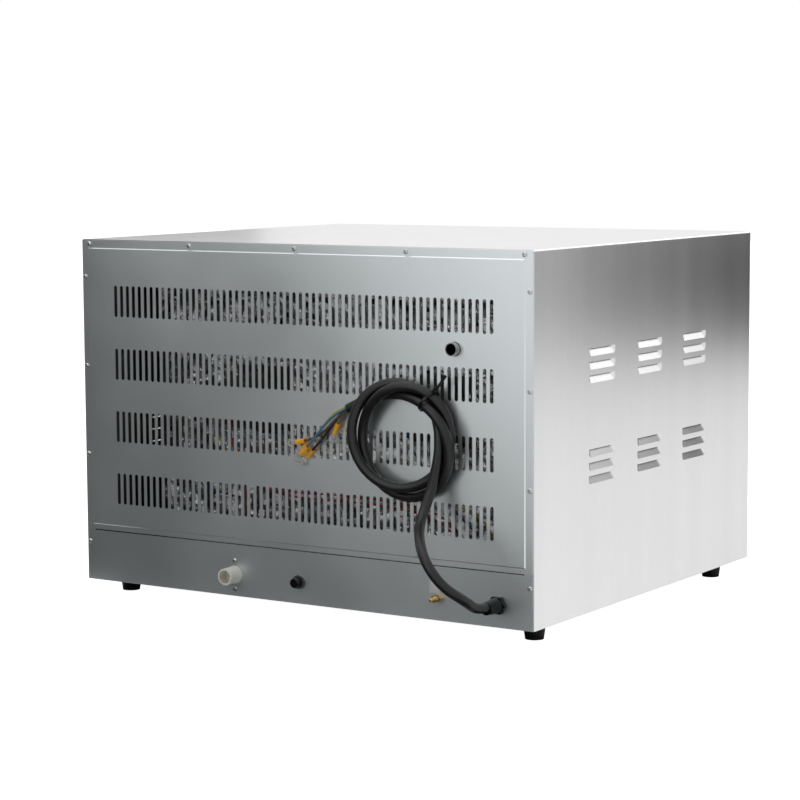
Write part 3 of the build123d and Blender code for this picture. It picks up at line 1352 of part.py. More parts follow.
def biarc_joint(start, start_direction, end, end_direction):
    """Middle point and middle direction of the two arcs that join two directions."""
    chord = end - start
    both = start_direction + end_direction
    a = both.dot(both) - 4
    b = -2 * chord.dot(both)
    c = chord.dot(chord)
    reach = (-b - sqrt(b * b - 4 * a * c)) / (2 * a)
    if reach < 0:
        reach = (-b + sqrt(b * b - 4 * a * c)) / (2 * a)
    first = start + start_direction * reach
    second = end - end_direction * reach
    return (first + second) / 2, (second - first).normalized()


def corner_radii(points):
    """Bend radius at each corner of a route, from the shorter run beside it."""
    radii = []
    for before, corner, after in zip(points, points[1:], points[2:]):
        run_in = corner - before
        run_out = after - corner
        half_turn = radians(run_in.get_angle(run_out)) / 2
        radii.append(BEND_SHARE * min(run_in.length, run_out.length) / tan(half_turn))
    return radii


def free_tube(points, diameter, node):
    """A round tube along straight runs joined by tangent arcs."""
    radii = corner_radii(points)
    with BuildPart() as tube:
        with BuildLine() as route:
            FilletPolyline(*points, radius=radii)
        with BuildSketch(Plane(origin=points[0], z_dir=points[1] - points[0])):
            Circle(diameter / 2)
        sweep()
    finish(tube, node)
    ideal = route.wire().length * pi * diameter * diameter / 4
    print(node, "length", round(route.wire().length), "bend radii", [round(r, 1) for r in radii])
    print(node, "volume against section times length", round(tube.part.volume / ideal, 4))


turn_step = (COIL_END - COIL_START) / COIL_STEPS
turns = [COIL_START + i * turn_step for i in range(COIL_STEPS + 1)]
coil_start = strand_place(COIL_START)
lead_start = coil_start - strand_direction(COIL_START) * COIL_LEAD
tail_corner = cable_place(TAIL_CORNER)
tail_run = (tail_corner - strand_place(COIL_END)).normalized()
turn_direction = strand_direction(COIL_END)
jacket_direction = tail_run * (2 * turn_direction.dot(tail_run)) - turn_direction
jacket_end = tail_corner + jacket_direction * COIL_TAIL
with BuildPart() as power_cable_coil:
    with BuildLine() as coil_path:
        Line(lead_start, coil_start)
        for turn_a, turn_b in zip(turns, turns[1:]):
            place_a = strand_place(turn_a)
            place_b = strand_place(turn_b)
            direction_a = strand_direction(turn_a)
            joint, joint_direction = biarc_joint(place_a, direction_a, place_b, strand_direction(turn_b))
            TangentArc(place_a, joint, tangent=direction_a)
            TangentArc(joint, place_b, tangent=joint_direction)
        TangentArc(strand_place(COIL_END), tail_corner, tangent=turn_direction)
        Line(tail_corner, jacket_end)
    with BuildSketch(Plane(origin=lead_start, z_dir=coil_start - lead_start)):
        Circle(CABLE_D / 2)
    sweep()
finish(power_cable_coil, "power_cable_coil")

coil_wire = coil_path.wire()
samples = [coil_wire.position_at(i / GAP_SAMPLES) for i in range(GAP_SAMPLES + 1)]
apart = int(GAP_APART / (coil_wire.length / GAP_SAMPLES))
least = min(
    (samples[i] - samples[j]).length
    for i in range(len(samples))
    for j in range(i + apart, len(samples))
)
print("coil length", round(coil_wire.length), "least gap to itself", round(least - CABLE_D, 2))
print("coil clear of the panel by", round(min(p.Y for p in samples) - BACK_Y - CABLE_D / 2, 2))

cable_points = [cable_place(point) for point in CABLE_ROUTE] + [lead_start]
free_tube(cable_points, CABLE_D, "power_cable")

# Cores: each leaves the jacket square to its end and runs into its own sleeve
jacket_up = Vector(0, 0, 1) - jacket_direction * jacket_direction.Z
jacket_up = jacket_up.normalized()
jacket_out = jacket_up.cross(jacket_direction)
core_ends = []
for core_name, (core_angle, first_run, core_points) in CORE_ROUTES.items():
    angle = radians(core_angle)
    core_start = jacket_end + (jacket_out * cos(angle) + jacket_up * sin(angle)) * CORE_RING_R
    first_corner = core_start + jacket_direction * first_run
    points = [core_start, first_corner] + [cable_place(point) for point in core_points]
    free_tube(points, CORE_D, core_name)
    core_ends.append((points[-1], (points[-1] - points[-2]).normalized()))

# Ring terminals on the cores and the sleeves over their barrels
with BuildPart() as ring_terminals:
    for place, direction in core_ends:
        with BuildSketch(Plane(origin=place, z_dir=direction)):
            Circle(BARREL_R)
        extrude(amount=SLEEVE_L - SLEEVE_LAP)
        flat = Plane(origin=place, x_dir=direction, z_dir=(0, 1, 0))
        with BuildSketch(flat.offset(-RING_T / 2)):
            with Locations((SLEEVE_L - SLEEVE_LAP, 0)):
                Rectangle(RING_REACH - SLEEVE_L + SLEEVE_LAP, 2 * BARREL_R, align=(Align.MIN, Align.CENTER))
            with Locations((RING_REACH, 0)):
                Circle(RING_R)
                Circle(RING_HOLE_R, mode=Mode.SUBTRACT)
        extrude(amount=RING_T)
finish(ring_terminals, "ring_terminals")

with BuildPart() as terminal_sleeves:
    for place, direction in core_ends:
        with BuildSketch(Plane(origin=place - direction * SLEEVE_LAP, z_dir=direction)):
            Circle(SLEEVE_R)
            Circle(BARREL_R, mode=Mode.SUBTRACT)
        extrude(amount=SLEEVE_L)
finish(terminal_sleeves, "terminal_sleeves")

# Cable tie: a flat band round the bundle of three strands, with its square head
tie_angle = radians(TIE_ANGLE)
tie_place = Vector(
    COIL_X - COIL_R * cos(tie_angle), BACK_Y + COIL_STANDOFF, COIL_Z + COIL_R * sin(tie_angle)
)
tie_plane = Plane(
    origin=tie_place,
    x_dir=(-cos(tie_angle), 0, sin(tie_angle)),
    z_dir=(sin(tie_angle), 0, cos(tie_angle)),
)
tie_inner_r = STRAND_OFFSET + CABLE_D / 2 + FIT_GAP
with BuildPart() as cable_tie:
    with BuildSketch(tie_plane.offset(-TIE_W / 2)):
        Circle(tie_inner_r + TIE_T)
        Circle(tie_inner_r, mode=Mode.SUBTRACT)
    extrude(amount=TIE_W)
    with BuildSketch(tie_plane.offset(-TIE_HEAD / 2)):
        with Locations((tie_inner_r, 0)):
            Rectangle(TIE_HEAD_H, TIE_HEAD, align=(Align.MIN, Align.CENTER))
    extrude(amount=TIE_HEAD)
    with BuildSketch(tie_plane.offset(-TIE_W / 2)):
        with Locations((tie_inner_r + TIE_HEAD_H, 0)):
            Rectangle(TIE_TAIL_L, TIE_T, align=(Align.MIN, Align.CENTER))
    extrude(amount=TIE_W)
finish(cable_tie, "cable_tie")

# Wiring loom: three wires from the terminal block to the motors
well_floor_z = terminal_z + TERMINAL_H - TERMINAL_WELL_H
cap_y = motor_back_y + MOTOR_CAP_T
with BuildPart() as wiring_loom:
    for well, motor, open_points, motor_points in LOOM_ROUTES:
        well_x = TERMINAL_X + well * TERMINAL_PITCH
        motor_x, motor_z = fan_places[motor]
        near_motor = [Vector(motor_x + dx, cap_y + dy, motor_z + dz) for dx, dy, dz in motor_points]
        wire_end = Vector(near_motor[-1].X, cap_y, near_motor[-1].Z)
        with BuildLine():
            FilletPolyline(
                Vector(well_x, terminal_y, well_floor_z),
                *[cable_place(point) for point in open_points],
                *near_motor,
                wire_end,
                radius=LOOM_BEND,
            )
        with BuildSketch(Plane.XY.offset(well_floor_z)):
            with Locations((well_x, terminal_y)):
                Circle(LOOM_D / 2)
        sweep()
finish(wiring_loom, "wiring_loom")
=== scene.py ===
# %% [markdown]
# # A countertop convection oven, seen from behind
# This lesson dresses a finished CAD model of a stainless steel convection oven.
# The solids come in as a fixed frame, so nothing is moved or resized here.
# We add the camera, the cable, the foil round the hot chamber and the small
# fasteners, and give every sheet, wire and moulding its own finish.
# Sizes are in metres, Z is up, the door faces -Y and the slotted rear faces +Y.

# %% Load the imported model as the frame
import bpy
import bmesh
import math
import random
from mathutils import Matrix, Vector, noise


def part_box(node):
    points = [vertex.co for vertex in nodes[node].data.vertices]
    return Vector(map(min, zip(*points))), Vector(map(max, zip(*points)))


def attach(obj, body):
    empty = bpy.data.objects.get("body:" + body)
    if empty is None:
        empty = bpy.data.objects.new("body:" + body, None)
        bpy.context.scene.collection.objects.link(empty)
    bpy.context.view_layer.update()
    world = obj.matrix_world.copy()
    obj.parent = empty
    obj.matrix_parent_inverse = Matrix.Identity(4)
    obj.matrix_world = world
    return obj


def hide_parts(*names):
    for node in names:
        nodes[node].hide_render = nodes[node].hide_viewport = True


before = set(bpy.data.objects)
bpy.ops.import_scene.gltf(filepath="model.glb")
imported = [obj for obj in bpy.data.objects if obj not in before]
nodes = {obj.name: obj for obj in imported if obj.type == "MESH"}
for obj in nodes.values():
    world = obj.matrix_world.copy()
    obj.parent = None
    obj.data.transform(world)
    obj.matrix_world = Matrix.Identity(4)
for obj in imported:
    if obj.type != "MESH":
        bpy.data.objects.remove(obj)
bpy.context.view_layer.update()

# %% [markdown]
# Every new object is linked to the scene, and many finishes are plain greys, so
# both get a short name.

# %% Two small helpers
def new_object(name, data):
    """An object of some data, linked to the scene."""
    piece = bpy.data.objects.new(name, data)
    bpy.context.scene.collection.objects.link(piece)
    return piece


def grey(level):
    """A neutral colour."""
    return (level, level, level)


# %% [markdown]
# ## The camera
# The photograph was taken from behind, from the -X side and a little above the
# top. A camera could be placed by eye, but then slots and screws never line up.
# These angles and the distance come from a fit of known edges, and the place is
# given from the plane of the rear panel.

# %% Camera at the photograph's angle
BACK_Y = 0.3975
VIEW_YAW = math.radians(32.85695)
VIEW_PITCH = math.radians(6.23722)
VIEW_ROLL = math.radians(-0.32544)
CAMERA_PLACE = Vector((-2.12740, BACK_Y + 2.99923, 0.7404))
FOCAL_PIXELS = 2426.58
PICTURE_PIXELS = 800
SENSOR_MM = 36.0
SEEN_TO = 50.0


def photo_camera():
    """A camera that looks along the fitted yaw and pitch, turned by the fitted roll."""
    forward = Vector((
        math.sin(VIEW_YAW) * math.cos(VIEW_PITCH),
        -math.cos(VIEW_YAW) * math.cos(VIEW_PITCH),
        -math.sin(VIEW_PITCH),
    ))
    level_right = forward.cross(Vector((0, 0, 1))).normalized()
    level_up = level_right.cross(forward)
    right = level_right * math.cos(VIEW_ROLL) + level_up * math.sin(VIEW_ROLL)
    up = level_up * math.cos(VIEW_ROLL) - level_right * math.sin(VIEW_ROLL)
    data = bpy.data.cameras.new("photo_camera")
    data.sensor_width = SENSOR_MM
    data.lens = FOCAL_PIXELS / PICTURE_PIXELS * SENSOR_MM
    data.clip_end = SEEN_TO
    camera = new_object("photo_camera", data)
    turn = Matrix((right, up, -forward)).transposed().to_4x4()
    camera.matrix_world = Matrix.Translation(CAMERA_PLACE) @ turn
    bpy.context.scene.camera = camera
    return camera


camera = photo_camera()
print("lens in mm:", round(camera.data.lens, 2))

# %% [markdown]
# ## The supply cable
# A thick five-core rubber cable leaves the gland low on the rear, climbs to a
# coil of two and a third turns that is tied once, and ends in bare cores with
# ring terminals. It could be a mesh tube swept along corners, but that looks
# like bent wire. One smooth NURBS line through the route's points bends like
# rubber, and a round bevel gives it its thickness.

# %% Route points shared with the solids
CABLE_D = 0.015
CABLE_ROUTE = [
    (-0.3580, 0.0000, 0.0590),
    (-0.3580, 0.0547, 0.0590),
    (-0.3595, 0.0931, 0.0798),
    (-0.3379, 0.1196, 0.1020),
    (-0.3122, 0.1233, 0.1334),
    (-0.2879, 0.1027, 0.1589),
    (-0.2615, 0.0601, 0.1799),
    (-0.2617, 0.0332, 0.2148),
    (-0.2692, 0.0290, 0.2512),
]
CABLE_TAIL = [
    (-0.1473, 0.0068, 0.3542),
    (-0.1190, 0.0095, 0.3405),
    (-0.1047, 0.0109, 0.3335),
]


def behind_back(point):
    """A place given as x, distance behind the back and height, in the row frame."""
    x, behind, z = point
    return Vector((x, BACK_Y + behind, z))


# %% [markdown]
# The coil is not a flat spiral. Its strands twist round each other like a loose
# rope, so the line runs on a small circle that turns while it goes round the
# large one. A slow swing of that twist lets the last turn dive under the others.

# %% Coil points by a loop
COIL_X = -0.203
COIL_Z = 0.291
COIL_R = 0.080
COIL_STANDOFF = 0.0193
STRAND_OFFSET = 0.0102
STRAND_PHASE = math.radians(128.0)
STRAND_SWING = math.radians(28.0)
STRAND_TWIST = 4.0 / 3.0
COIL_START = -20.0
COIL_END = 830.0
COIL_POINTS_PER_TURN = 18


def strand_place(turn):
    """Centre of the coiled cable at an angle in degrees round the coil."""
    along = math.radians(turn - COIL_START)
    phase = STRAND_PHASE + STRAND_TWIST * along + STRAND_SWING * (1 - math.cos(along))
    radius = COIL_R + STRAND_OFFSET * math.cos(phase)
    behind = COIL_STANDOFF + STRAND_OFFSET * math.sin(phase)
    angle = math.radians(turn)
    return Vector((
        COIL_X - radius * math.cos(angle),
        BACK_Y + behind,
        COIL_Z + radius * math.sin(angle),
    ))


coil_steps = round((COIL_END - COIL_START) / 360 * COIL_POINTS_PER_TURN)
coil_points = [
    strand_place(COIL_START + (COIL_END - COIL_START) * i / coil_steps)
    for i in range(coil_steps + 1)
]
cable_points = (
    [behind_back(p) for p in CABLE_ROUTE] + coil_points + [behind_back(p) for p in CABLE_TAIL]
)
print("cable control points:", len(cable_points))

# %% [markdown]
# Cable, cores and wires are the same kind of thing, one line with a round
# section, so one helper makes them all.

# %% A helper that turns route points into a smooth round cord
CURVE_STEPS = 8


def cord_curve(name, points, diameter, body, sides=8):
    """A curve object of one open NURBS spline with a round bevel.

    The bevel is one metre and each point's radius scales it to the real size,
    because Blender grows a curve's box by that radius.
    """
    data = bpy.data.curves.new(name, "CURVE")
    data.dimensions = "3D"
    data.resolution_u = CURVE_STEPS
    data.bevel_depth = 1.0
    data.bevel_resolution = sides
    data.use_fill_caps = True
    spline = data.splines.new("NURBS")
    spline.points.add(len(points) - 1)
    for knot, place in zip(spline.points, points):
        knot.co = (*place, 1.0)
        knot.radius = diameter / 2
    spline.order_u = 3
    spline.use_endpoint_u = True
    piece = new_object(name, data)
    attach(piece, body)
    return piece


# %% [markdown]
# The cable is one cord from the gland through the coil to its stripped end, and
# it stands for the cable's solids.

# %% The cable itself
supply_cable = cord_curve("supply_cable", cable_points, CABLE_D, "casing", sides=12)
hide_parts("power_cable", "power_cable_coil")

# %% [markdown]
# ## The cores
# Where the jacket is stripped, five thin insulated cores fan out. Each leaves
# the jacket square to its end, at its own place in the ring of cores, and runs
# into a yellow sleeve. They are separate short cords that follow the solids.

# %% Core routes and the cords made from them
CORE_D = 0.004
CORE_RING_R = 0.004
CORE_ROUTES = {
    "core_earth": (90.0, 0.098, [
        (-0.0940, 0.0120, 0.3320), (-0.0770, 0.0106, 0.3240), (-0.0590, 0.0086, 0.3060),
        (-0.0447, 0.0080, 0.2848), (-0.0297, 0.0080, 0.2748)]),
    "core_blue": (18.0, 0.098, [
        (-0.0940, 0.0160, 0.3290), (-0.0770, 0.0176, 0.3180), (-0.0600, 0.0182, 0.3000),
        (-0.0446, 0.0182, 0.2830), (-0.0322, 0.0182, 0.2701)]),
    "core_brown": (-54.0, 0.098, [
        (-0.0950, 0.0145, 0.3260), (-0.0800, 0.0130, 0.3130), (-0.0640, 0.0110, 0.2980),
        (-0.0420, 0.0134, 0.2841), (-0.0241, 0.0134, 0.2801)]),
    "core_black": (162.0, 0.099, [
        (-0.0930, 0.0084, 0.3290), (-0.0820, 0.0070, 0.3160), (-0.0640, 0.0068, 0.2950),
        (-0.0484, 0.0080, 0.2774), (-0.0352, 0.0080, 0.2642)]),
    "core_grey": (234.0, 0.034, [
        (-0.0955, 0.0096, 0.3260), (-0.0895, 0.0086, 0.3174), (-0.0840, 0.0086, 0.3062)]),
}
jacket_end = behind_back(CABLE_TAIL[-1])
jacket_direction = (jacket_end - behind_back(CABLE_TAIL[-2])).normalized()
jacket_up = (Vector((0, 0, 1)) - jacket_direction * jacket_direction.z).normalized()
jacket_out = jacket_up.cross(jacket_direction)
cores = {}
for core_name, (core_angle, core_length, core_points) in CORE_ROUTES.items():
    angle = math.radians(core_angle)
    start = jacket_end + (jacket_out * math.cos(angle) + jacket_up * math.sin(angle)) * CORE_RING_R
    places = [behind_back(p) for p in core_points]
    places[0] = start + jacket_direction * (places[0] - start).length
    core = cord_curve(core_name + "_wire", [start] + places, CORE_D, "casing")
    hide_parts(core_name)
    cores[core_name] = core
print("cores:", sorted(cores))

# %% [markdown]
# ## Tools for procedural finishes
# A finish needs colour, roughness and a little relief. Painting images would
# tie them to one size, so all of it comes from node textures in object space.
# Effects that several finishes share are node groups with named inputs, and
# each material places the group with its own values.

# %% Helpers for node groups and materials
def new_group(name, inputs, outputs):
    """An empty shader node group with float inputs and the given outputs."""
    tree = bpy.data.node_groups.new(name, "ShaderNodeTree")
    for label, value in inputs:
        socket = tree.interface.new_socket(label, in_out="INPUT", socket_type="NodeSocketFloat")
        socket.default_value = value
    for label in outputs:
        tree.interface.new_socket(label, in_out="OUTPUT", socket_type="NodeSocketFloat")
    entry = tree.nodes.new("NodeGroupInput")
    exit_node = tree.nodes.new("NodeGroupOutput")
    return tree, entry, exit_node


def add(tree, kind, **settings):
    """A node with attributes set by name, and sockets set by a name in quotes."""
    node = tree.nodes.new(kind)
    for key, value in settings.pop("sockets", {}).items():
        node.inputs[key].default_value = value
    for key, value in settings.items():
        setattr(node, key, value)
    return node


def join(source, output, target, entry):
    """A link from one node's output to another node's input."""
    source.id_data.links.new(source.outputs[output], target.inputs[entry])


def in_object_space(tree, *textures):
    """Feeds object coordinates to texture nodes."""
    place = add(tree, "ShaderNodeTexCoord")
    for texture in textures:
        join(place, "Object", texture, "Vector")


def remap(tree, source, low, high, to_low, to_high):
    """A clamped Map Range node after a socket."""
    node = add(tree, "ShaderNodeMapRange")
    tree.links.new(source, node.inputs["Value"])
    for label, value in (
        ("From Min", low), ("From Max", high), ("To Min", to_low), ("To Max", to_high)
    ):
        node.inputs[label].default_value = value
    return node.outputs["Result"]


# %% [markdown]
# ### Grain lines
# Brushed steel is covered with fine scratches in one direction. A noise that is
# stretched over a hundred times along one axis gives lines, and a second slower
# one groups them into bands, as the brushing belt does.

# %% Group: grain lines
FINE_SHARE = 0.65
BAND_SHARE = 0.35
STRETCH = 0.008


def grain_group(name, stretch):
    """Lines along the axis whose stretch is small; outputs a tone and a height."""
    inputs = [("Fineness", 900.0), ("Banding", 14.0)]
    tree, entry, leave = new_group(name, inputs, ["Tone", "Height"])
    squeeze = add(tree, "ShaderNodeMapping")
    in_object_space(tree, squeeze)
    squeeze.inputs["Scale"].default_value = stretch
    fine = add(tree, "ShaderNodeTexNoise", sockets={"Detail": 3.0, "Roughness": 0.6})
    bands = add(tree, "ShaderNodeTexNoise", sockets={"Detail": 2.0})
    mix = add(tree, "ShaderNodeMath", operation="MULTIPLY_ADD")
    mix.inputs[1].default_value = FINE_SHARE
    part = add(tree, "ShaderNodeMath", operation="MULTIPLY")
    part.inputs[1].default_value = BAND_SHARE
    join(squeeze, "Vector", fine, "Vector")
    join(squeeze, "Vector", bands, "Vector")
    join(entry, "Fineness", fine, "Scale")
    join(entry, "Banding", bands, "Scale")
    join(bands, "Fac", part, 0)
    join(fine, "Fac", mix, 0)
    join(part, "Value", mix, 2)
    join(mix, "Value", leave, "Tone")
    join(fine, "Fac", leave, "Height")
    return tree


grain_upright = grain_group("grain_upright", (1.0, 1.0, STRETCH))
grain_level = grain_group("grain_level", (STRETCH, 1.0, 1.0))
print("grain groups:", grain_upright.name, grain_level.name)

# %% [markdown]
# ### Mottling and fine skin
# No sheet is perfectly even. A broad soft noise changes gloss and tone over a
# hand's width, and a fine one gives cast or moulded skin its small pits.

# %% Groups: mottle and skin
CLOUD_LOW = 0.3
CLOUD_HIGH = 0.7


def mottle_group():
    """Broad cloudy change from 0 to 1."""
    tree, entry, leave = new_group("mottle", [("Size", 6.0)], ["Cloud"])
    cloud = add(tree, "ShaderNodeTexNoise", sockets={"Detail": 4.0, "Roughness": 0.55})
    in_object_space(tree, cloud)
    join(entry, "Size", cloud, "Scale")
    spread = remap(tree, cloud.outputs["Fac"], CLOUD_LOW, CLOUD_HIGH, 0.0, 1.0)
    tree.links.new(spread, leave.inputs["Cloud"])
    return tree


def skin_group():
    """Fine pits of a moulded or cast surface, as a height."""
    tree, entry, leave = new_group("moulded_skin", [("Fineness", 1500.0)], ["Height"])
    pits = add(tree, "ShaderNodeTexVoronoi")
    soft = add(tree, "ShaderNodeTexNoise", sockets={"Detail": 3.0})
    both = add(tree, "ShaderNodeMath", operation="ADD")
    in_object_space(tree, pits, soft)
    join(entry, "Fineness", pits, "Scale")
    join(entry, "Fineness", soft, "Scale")
    join(pits, "Distance", both, 0)
    join(soft, "Fac", both, 1)
    join(both, "Value", leave, "Height")
    return tree


mottle = mottle_group()
moulded_skin = skin_group()

# %% [markdown]
# ### Painted shade on the inner side of a sheet
# The side of a sheet that faces the middle of the casing gets a darker colour as
# painted shade. Both sides are one solid here, so the side is told by whether
# the surface looks towards the middle of the casing or away from it.

# %% Group: painted shade on the inner side
CASING_MIDDLE = (0.0, 0.03, 0.24)


def inner_side_group():
    """A mask of painted shade that is 1 where a surface faces the middle of the casing."""
    tree, entry, leave = new_group("painted_inner_shade", [("Softness", 0.02)], ["Mask"])
    place = add(tree, "ShaderNodeTexCoord")
    arm = add(tree, "ShaderNodeVectorMath", operation="SUBTRACT")
    arm.inputs[1].default_value = CASING_MIDDLE
    lean = add(tree, "ShaderNodeVectorMath", operation="DOT_PRODUCT")
    spread = add(
        tree, "ShaderNodeMapRange", sockets={"From Min": 0.0, "To Min": 1.0, "To Max": 0.0})
    join(place, "Object", arm, 0)
    join(arm, "Vector", lean, 0)
    join(place, "Normal", lean, 1)
    join(lean, "Value", spread, "Value")
    join(entry, "Softness", spread, "From Max")
    join(spread, "Result", leave, "Mask")
    return tree


painted_inner_shade = inner_side_group()

# %% [markdown]
# ### One recipe for metals and one for mouldings
# A sheet's colour is mixed from a dark and a light tone by the grain or cloud,
# its roughness wanders in a small range, and the relief goes to a Bump node.
# Values that are the same all over go straight on the shader's own sockets.

# %% Parts of a recipe
GRAIN_LOW = 0.35
GRAIN_HIGH = 0.65
GRAIN_GLOSS = 0.10
CLOUD_GLOSS = 0.005
GRAIN_RELIEF = 0.25
METAL_SPREAD = 0.05
METAL_RELIEF = 0.2
SKIN_SPREAD = 0.06
SKIN_CLOUDS = 40.0
SKIN_RELIEF = 0.3


def start_material(name, **plain):
    """A material with one Principled shader whose plain values are set by name."""
    material = bpy.data.materials.new(name)
    material.use_nodes = True
    tree = material.node_tree
    shader = tree.nodes["Principled BSDF"]
    for label, value in plain.items():
        shader.inputs[label.replace("_", " ").title().replace("Ior", "IOR")].default_value = value
    return material, tree, shader


def tone_mix(tree, shader, mask, dark, light):
    """Base Color runs from dark to light with the mask."""
    ramp = add(tree, "ShaderNodeMix", data_type="RGBA")
    ramp.inputs["A"].default_value = (*dark, 1.0)
    ramp.inputs["B"].default_value = (*light, 1.0)
    tree.links.new(mask, ramp.inputs["Factor"])
    join(ramp, "Result", shader, "Base Color")
    return ramp


def dull_inside(tree, shader, ramp, colour):
    """The side towards the middle of the casing takes a darker colour: painted shade."""
    side = add(tree, "ShaderNodeGroup", node_tree=painted_inner_shade)
    blend = add(tree, "ShaderNodeMix", data_type="RGBA")
    blend.inputs["B"].default_value = (*colour, 1.0)
    join(side, "Mask", blend, "Factor")
    join(ramp, "Result", blend, "A")
    join(blend, "Result", shader, "Base Color")


def relief(tree, shader, height, strength, distance):
    """Relief through a Bump node."""
    bump = add(tree, "ShaderNodeBump", sockets={"Strength": strength, "Distance": distance})
    tree.links.new(height, bump.inputs["Height"])
    join(bump, "Normal", shader, "Normal")


def uneven_gloss(tree, shader, mask, rough, spread):
    """Roughness that wanders about its middle with a mask."""
    gloss = remap(tree, mask, 0.0, 1.0, rough - spread, rough + spread)
    tree.links.new(gloss, shader.inputs["Roughness"])


# %% [markdown]
# Three recipes follow: metal with grain lines, metal without, and mouldings.
# The last two differ in their values only, so they share one function.

# %% Metals and mouldings
def brushed_metal(name, grain, dark, light, rough, fineness=900.0, depth=0.00002, inner_shade_colour=None):
    """Sheet or bar with grain lines, and painted shade on its inner side if that colour is given."""
    material, tree, shader = start_material(name, metallic=1.0)
    lines = add(tree, "ShaderNodeGroup", node_tree=grain)
    lines.inputs["Fineness"].default_value = fineness
    clouds = add(tree, "ShaderNodeGroup", node_tree=mottle)
    tones = remap(tree, lines.outputs["Tone"], GRAIN_LOW, GRAIN_HIGH, 0.0, 1.0)
    ramp = tone_mix(tree, shader, tones, dark, light)
    # Painted shade on the side that faces the middle of the casing.
    if inner_shade_colour:
        dull_inside(tree, shader, ramp, inner_shade_colour)
    base = rough - GRAIN_GLOSS / 2
    drift = remap(tree, clouds.outputs["Cloud"], 0.0, 1.0, base - CLOUD_GLOSS, base + CLOUD_GLOSS)
    gloss = add(tree, "ShaderNodeMath", operation="MULTIPLY_ADD")
    gloss.inputs[1].default_value = GRAIN_GLOSS
    join(lines, "Tone", gloss, 0)
    tree.links.new(drift, gloss.inputs[2])
    join(gloss, "Value", shader, "Roughness")
    relief(tree, shader, lines.outputs["Height"], GRAIN_RELIEF, depth)
    return material


def cloudy(name, dark, light, rough, spread, size, fineness, strength, depth, inner_shade_colour, plain):
    """The recipe that plain metal and mouldings share: clouds of tone and a fine skin."""
    material, tree, shader = start_material(name, **plain)
    clouds = add(tree, "ShaderNodeGroup", node_tree=mottle)
    clouds.inputs["Size"].default_value = size
    skin = add(tree, "ShaderNodeGroup", node_tree=moulded_skin)
    skin.inputs["Fineness"].default_value = fineness
    ramp = tone_mix(tree, shader, clouds.outputs["Cloud"], dark, light)
    # Painted shade on the side that faces the middle of the casing.
    if inner_shade_colour:
        dull_inside(tree, shader, ramp, inner_shade_colour)
    uneven_gloss(tree, shader, clouds.outputs["Cloud"], rough, spread)
    relief(tree, shader, skin.outputs["Height"], strength, depth)
    return material


def cloudy_metal(
    name, dark, light, rough, size=6.0, metallic=1.0, depth=0.00003, fineness=900.0, inner_shade_colour=None
):
    """Rolled, drawn, plated or painted metal without grain lines."""
    plain = {"metallic": metallic}
    return cloudy(
        name, dark, light, rough, METAL_SPREAD, size, fineness, METAL_RELIEF, depth, inner_shade_colour, plain)


def moulding(name, dark, light, rough, fineness=1500.0, depth=0.00004, **plain):
    """Rubber, nylon or plastic with a fine skin."""
    return cloudy(
        name, dark, light, rough, SKIN_SPREAD, SKIN_CLOUDS, fineness, SKIN_RELIEF, depth, None, plain)


# %% [markdown]
# Pieces that are made here ride on the casing. The solids of the frame only get
# a material, in every slot that they have.

# %% Helpers for pieces and nodes
def casing_piece(name, data, node_name=None):
    """A new object that rides on the casing, and stands for a node if one is given."""
    piece = new_object(name, data)
    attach(piece, "casing")
    if node_name:
        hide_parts(node_name)
    return piece


def dress(material, *names):
    """Gives CAD nodes a material in every slot."""
    for name in names:
        slots = nodes[name].data.materials
        if not slots:
            slots.append(material)
        for i in range(len(slots)):
            slots[i] = material


# %% [markdown]
# ## Louvres in the sides
# A louvre is a cut along one edge with the metal beside it pressed inwards. The
# solids press it seven millimetres deep, and its upper half then mirrors only
# the inside of the casing. On the real sides the whole slope shines, so the
# visible sheet is a copy whose slopes are less deep and reach nearer the slit.

# %% The wrap with shallower louvres
LOUVRE_ZONE_Y = (-0.18, 0.24)
LOUVRE_GROUP_TOPS = (0.4235, 0.2720)
LOUVRE_PITCH = 0.0202
LOUVRE_ROWS = 3
LOUVRE_TOPS = [
    top - LOUVRE_PITCH * row for top in LOUVRE_GROUP_TOPS for row in range(LOUVRE_ROWS)
]
LOUVRE_TALL = 0.0135
SHEET_INNER_X = 0.416
SOLID_DEPTH = 0.007
DEPTH_SHARE = 0.57
SLIT_SHARE = 0.40
TOP_SLACK = 1e-5
FLAT_SLACK = 1e-6
DEPTH_SLACK = 1e-4


def casing_wrap():
    """A copy of the outer shell whose louvre slopes end less deep and nearer the slit."""
    data = nodes["outer_shell"].data.copy()
    data.name = "casing_wrap"
    moved = 0
    for v in data.vertices:
        tops = [top for top in LOUVRE_TOPS if -TOP_SLACK < top - v.co.z < LOUVRE_TALL]
        depth = SHEET_INNER_X - abs(v.co.x)
        in_zone = LOUVRE_ZONE_Y[0] < v.co.y < LOUVRE_ZONE_Y[1]
        if in_zone and tops and FLAT_SLACK < depth < SOLID_DEPTH + DEPTH_SLACK:
            rise = 1 - (1 - SLIT_SHARE) * depth / SOLID_DEPTH
            v.co.z = tops[0] - rise * (tops[0] - v.co.z)
            v.co.x = math.copysign(SHEET_INNER_X - DEPTH_SHARE * depth, v.co.x)
            moved += 1
    print("louvre points moved:", moved)
    return casing_piece("casing_wrap", data, "outer_shell")


wrap = casing_wrap()

# %% [markdown]
# ## The sheet metal
# The wrap of top and sides is brushed stainless steel with the grain upright.
# The rear panel and the plate under it are a flatter blue-grey zinc coated
# sheet, which is why they look painted beside the sides.

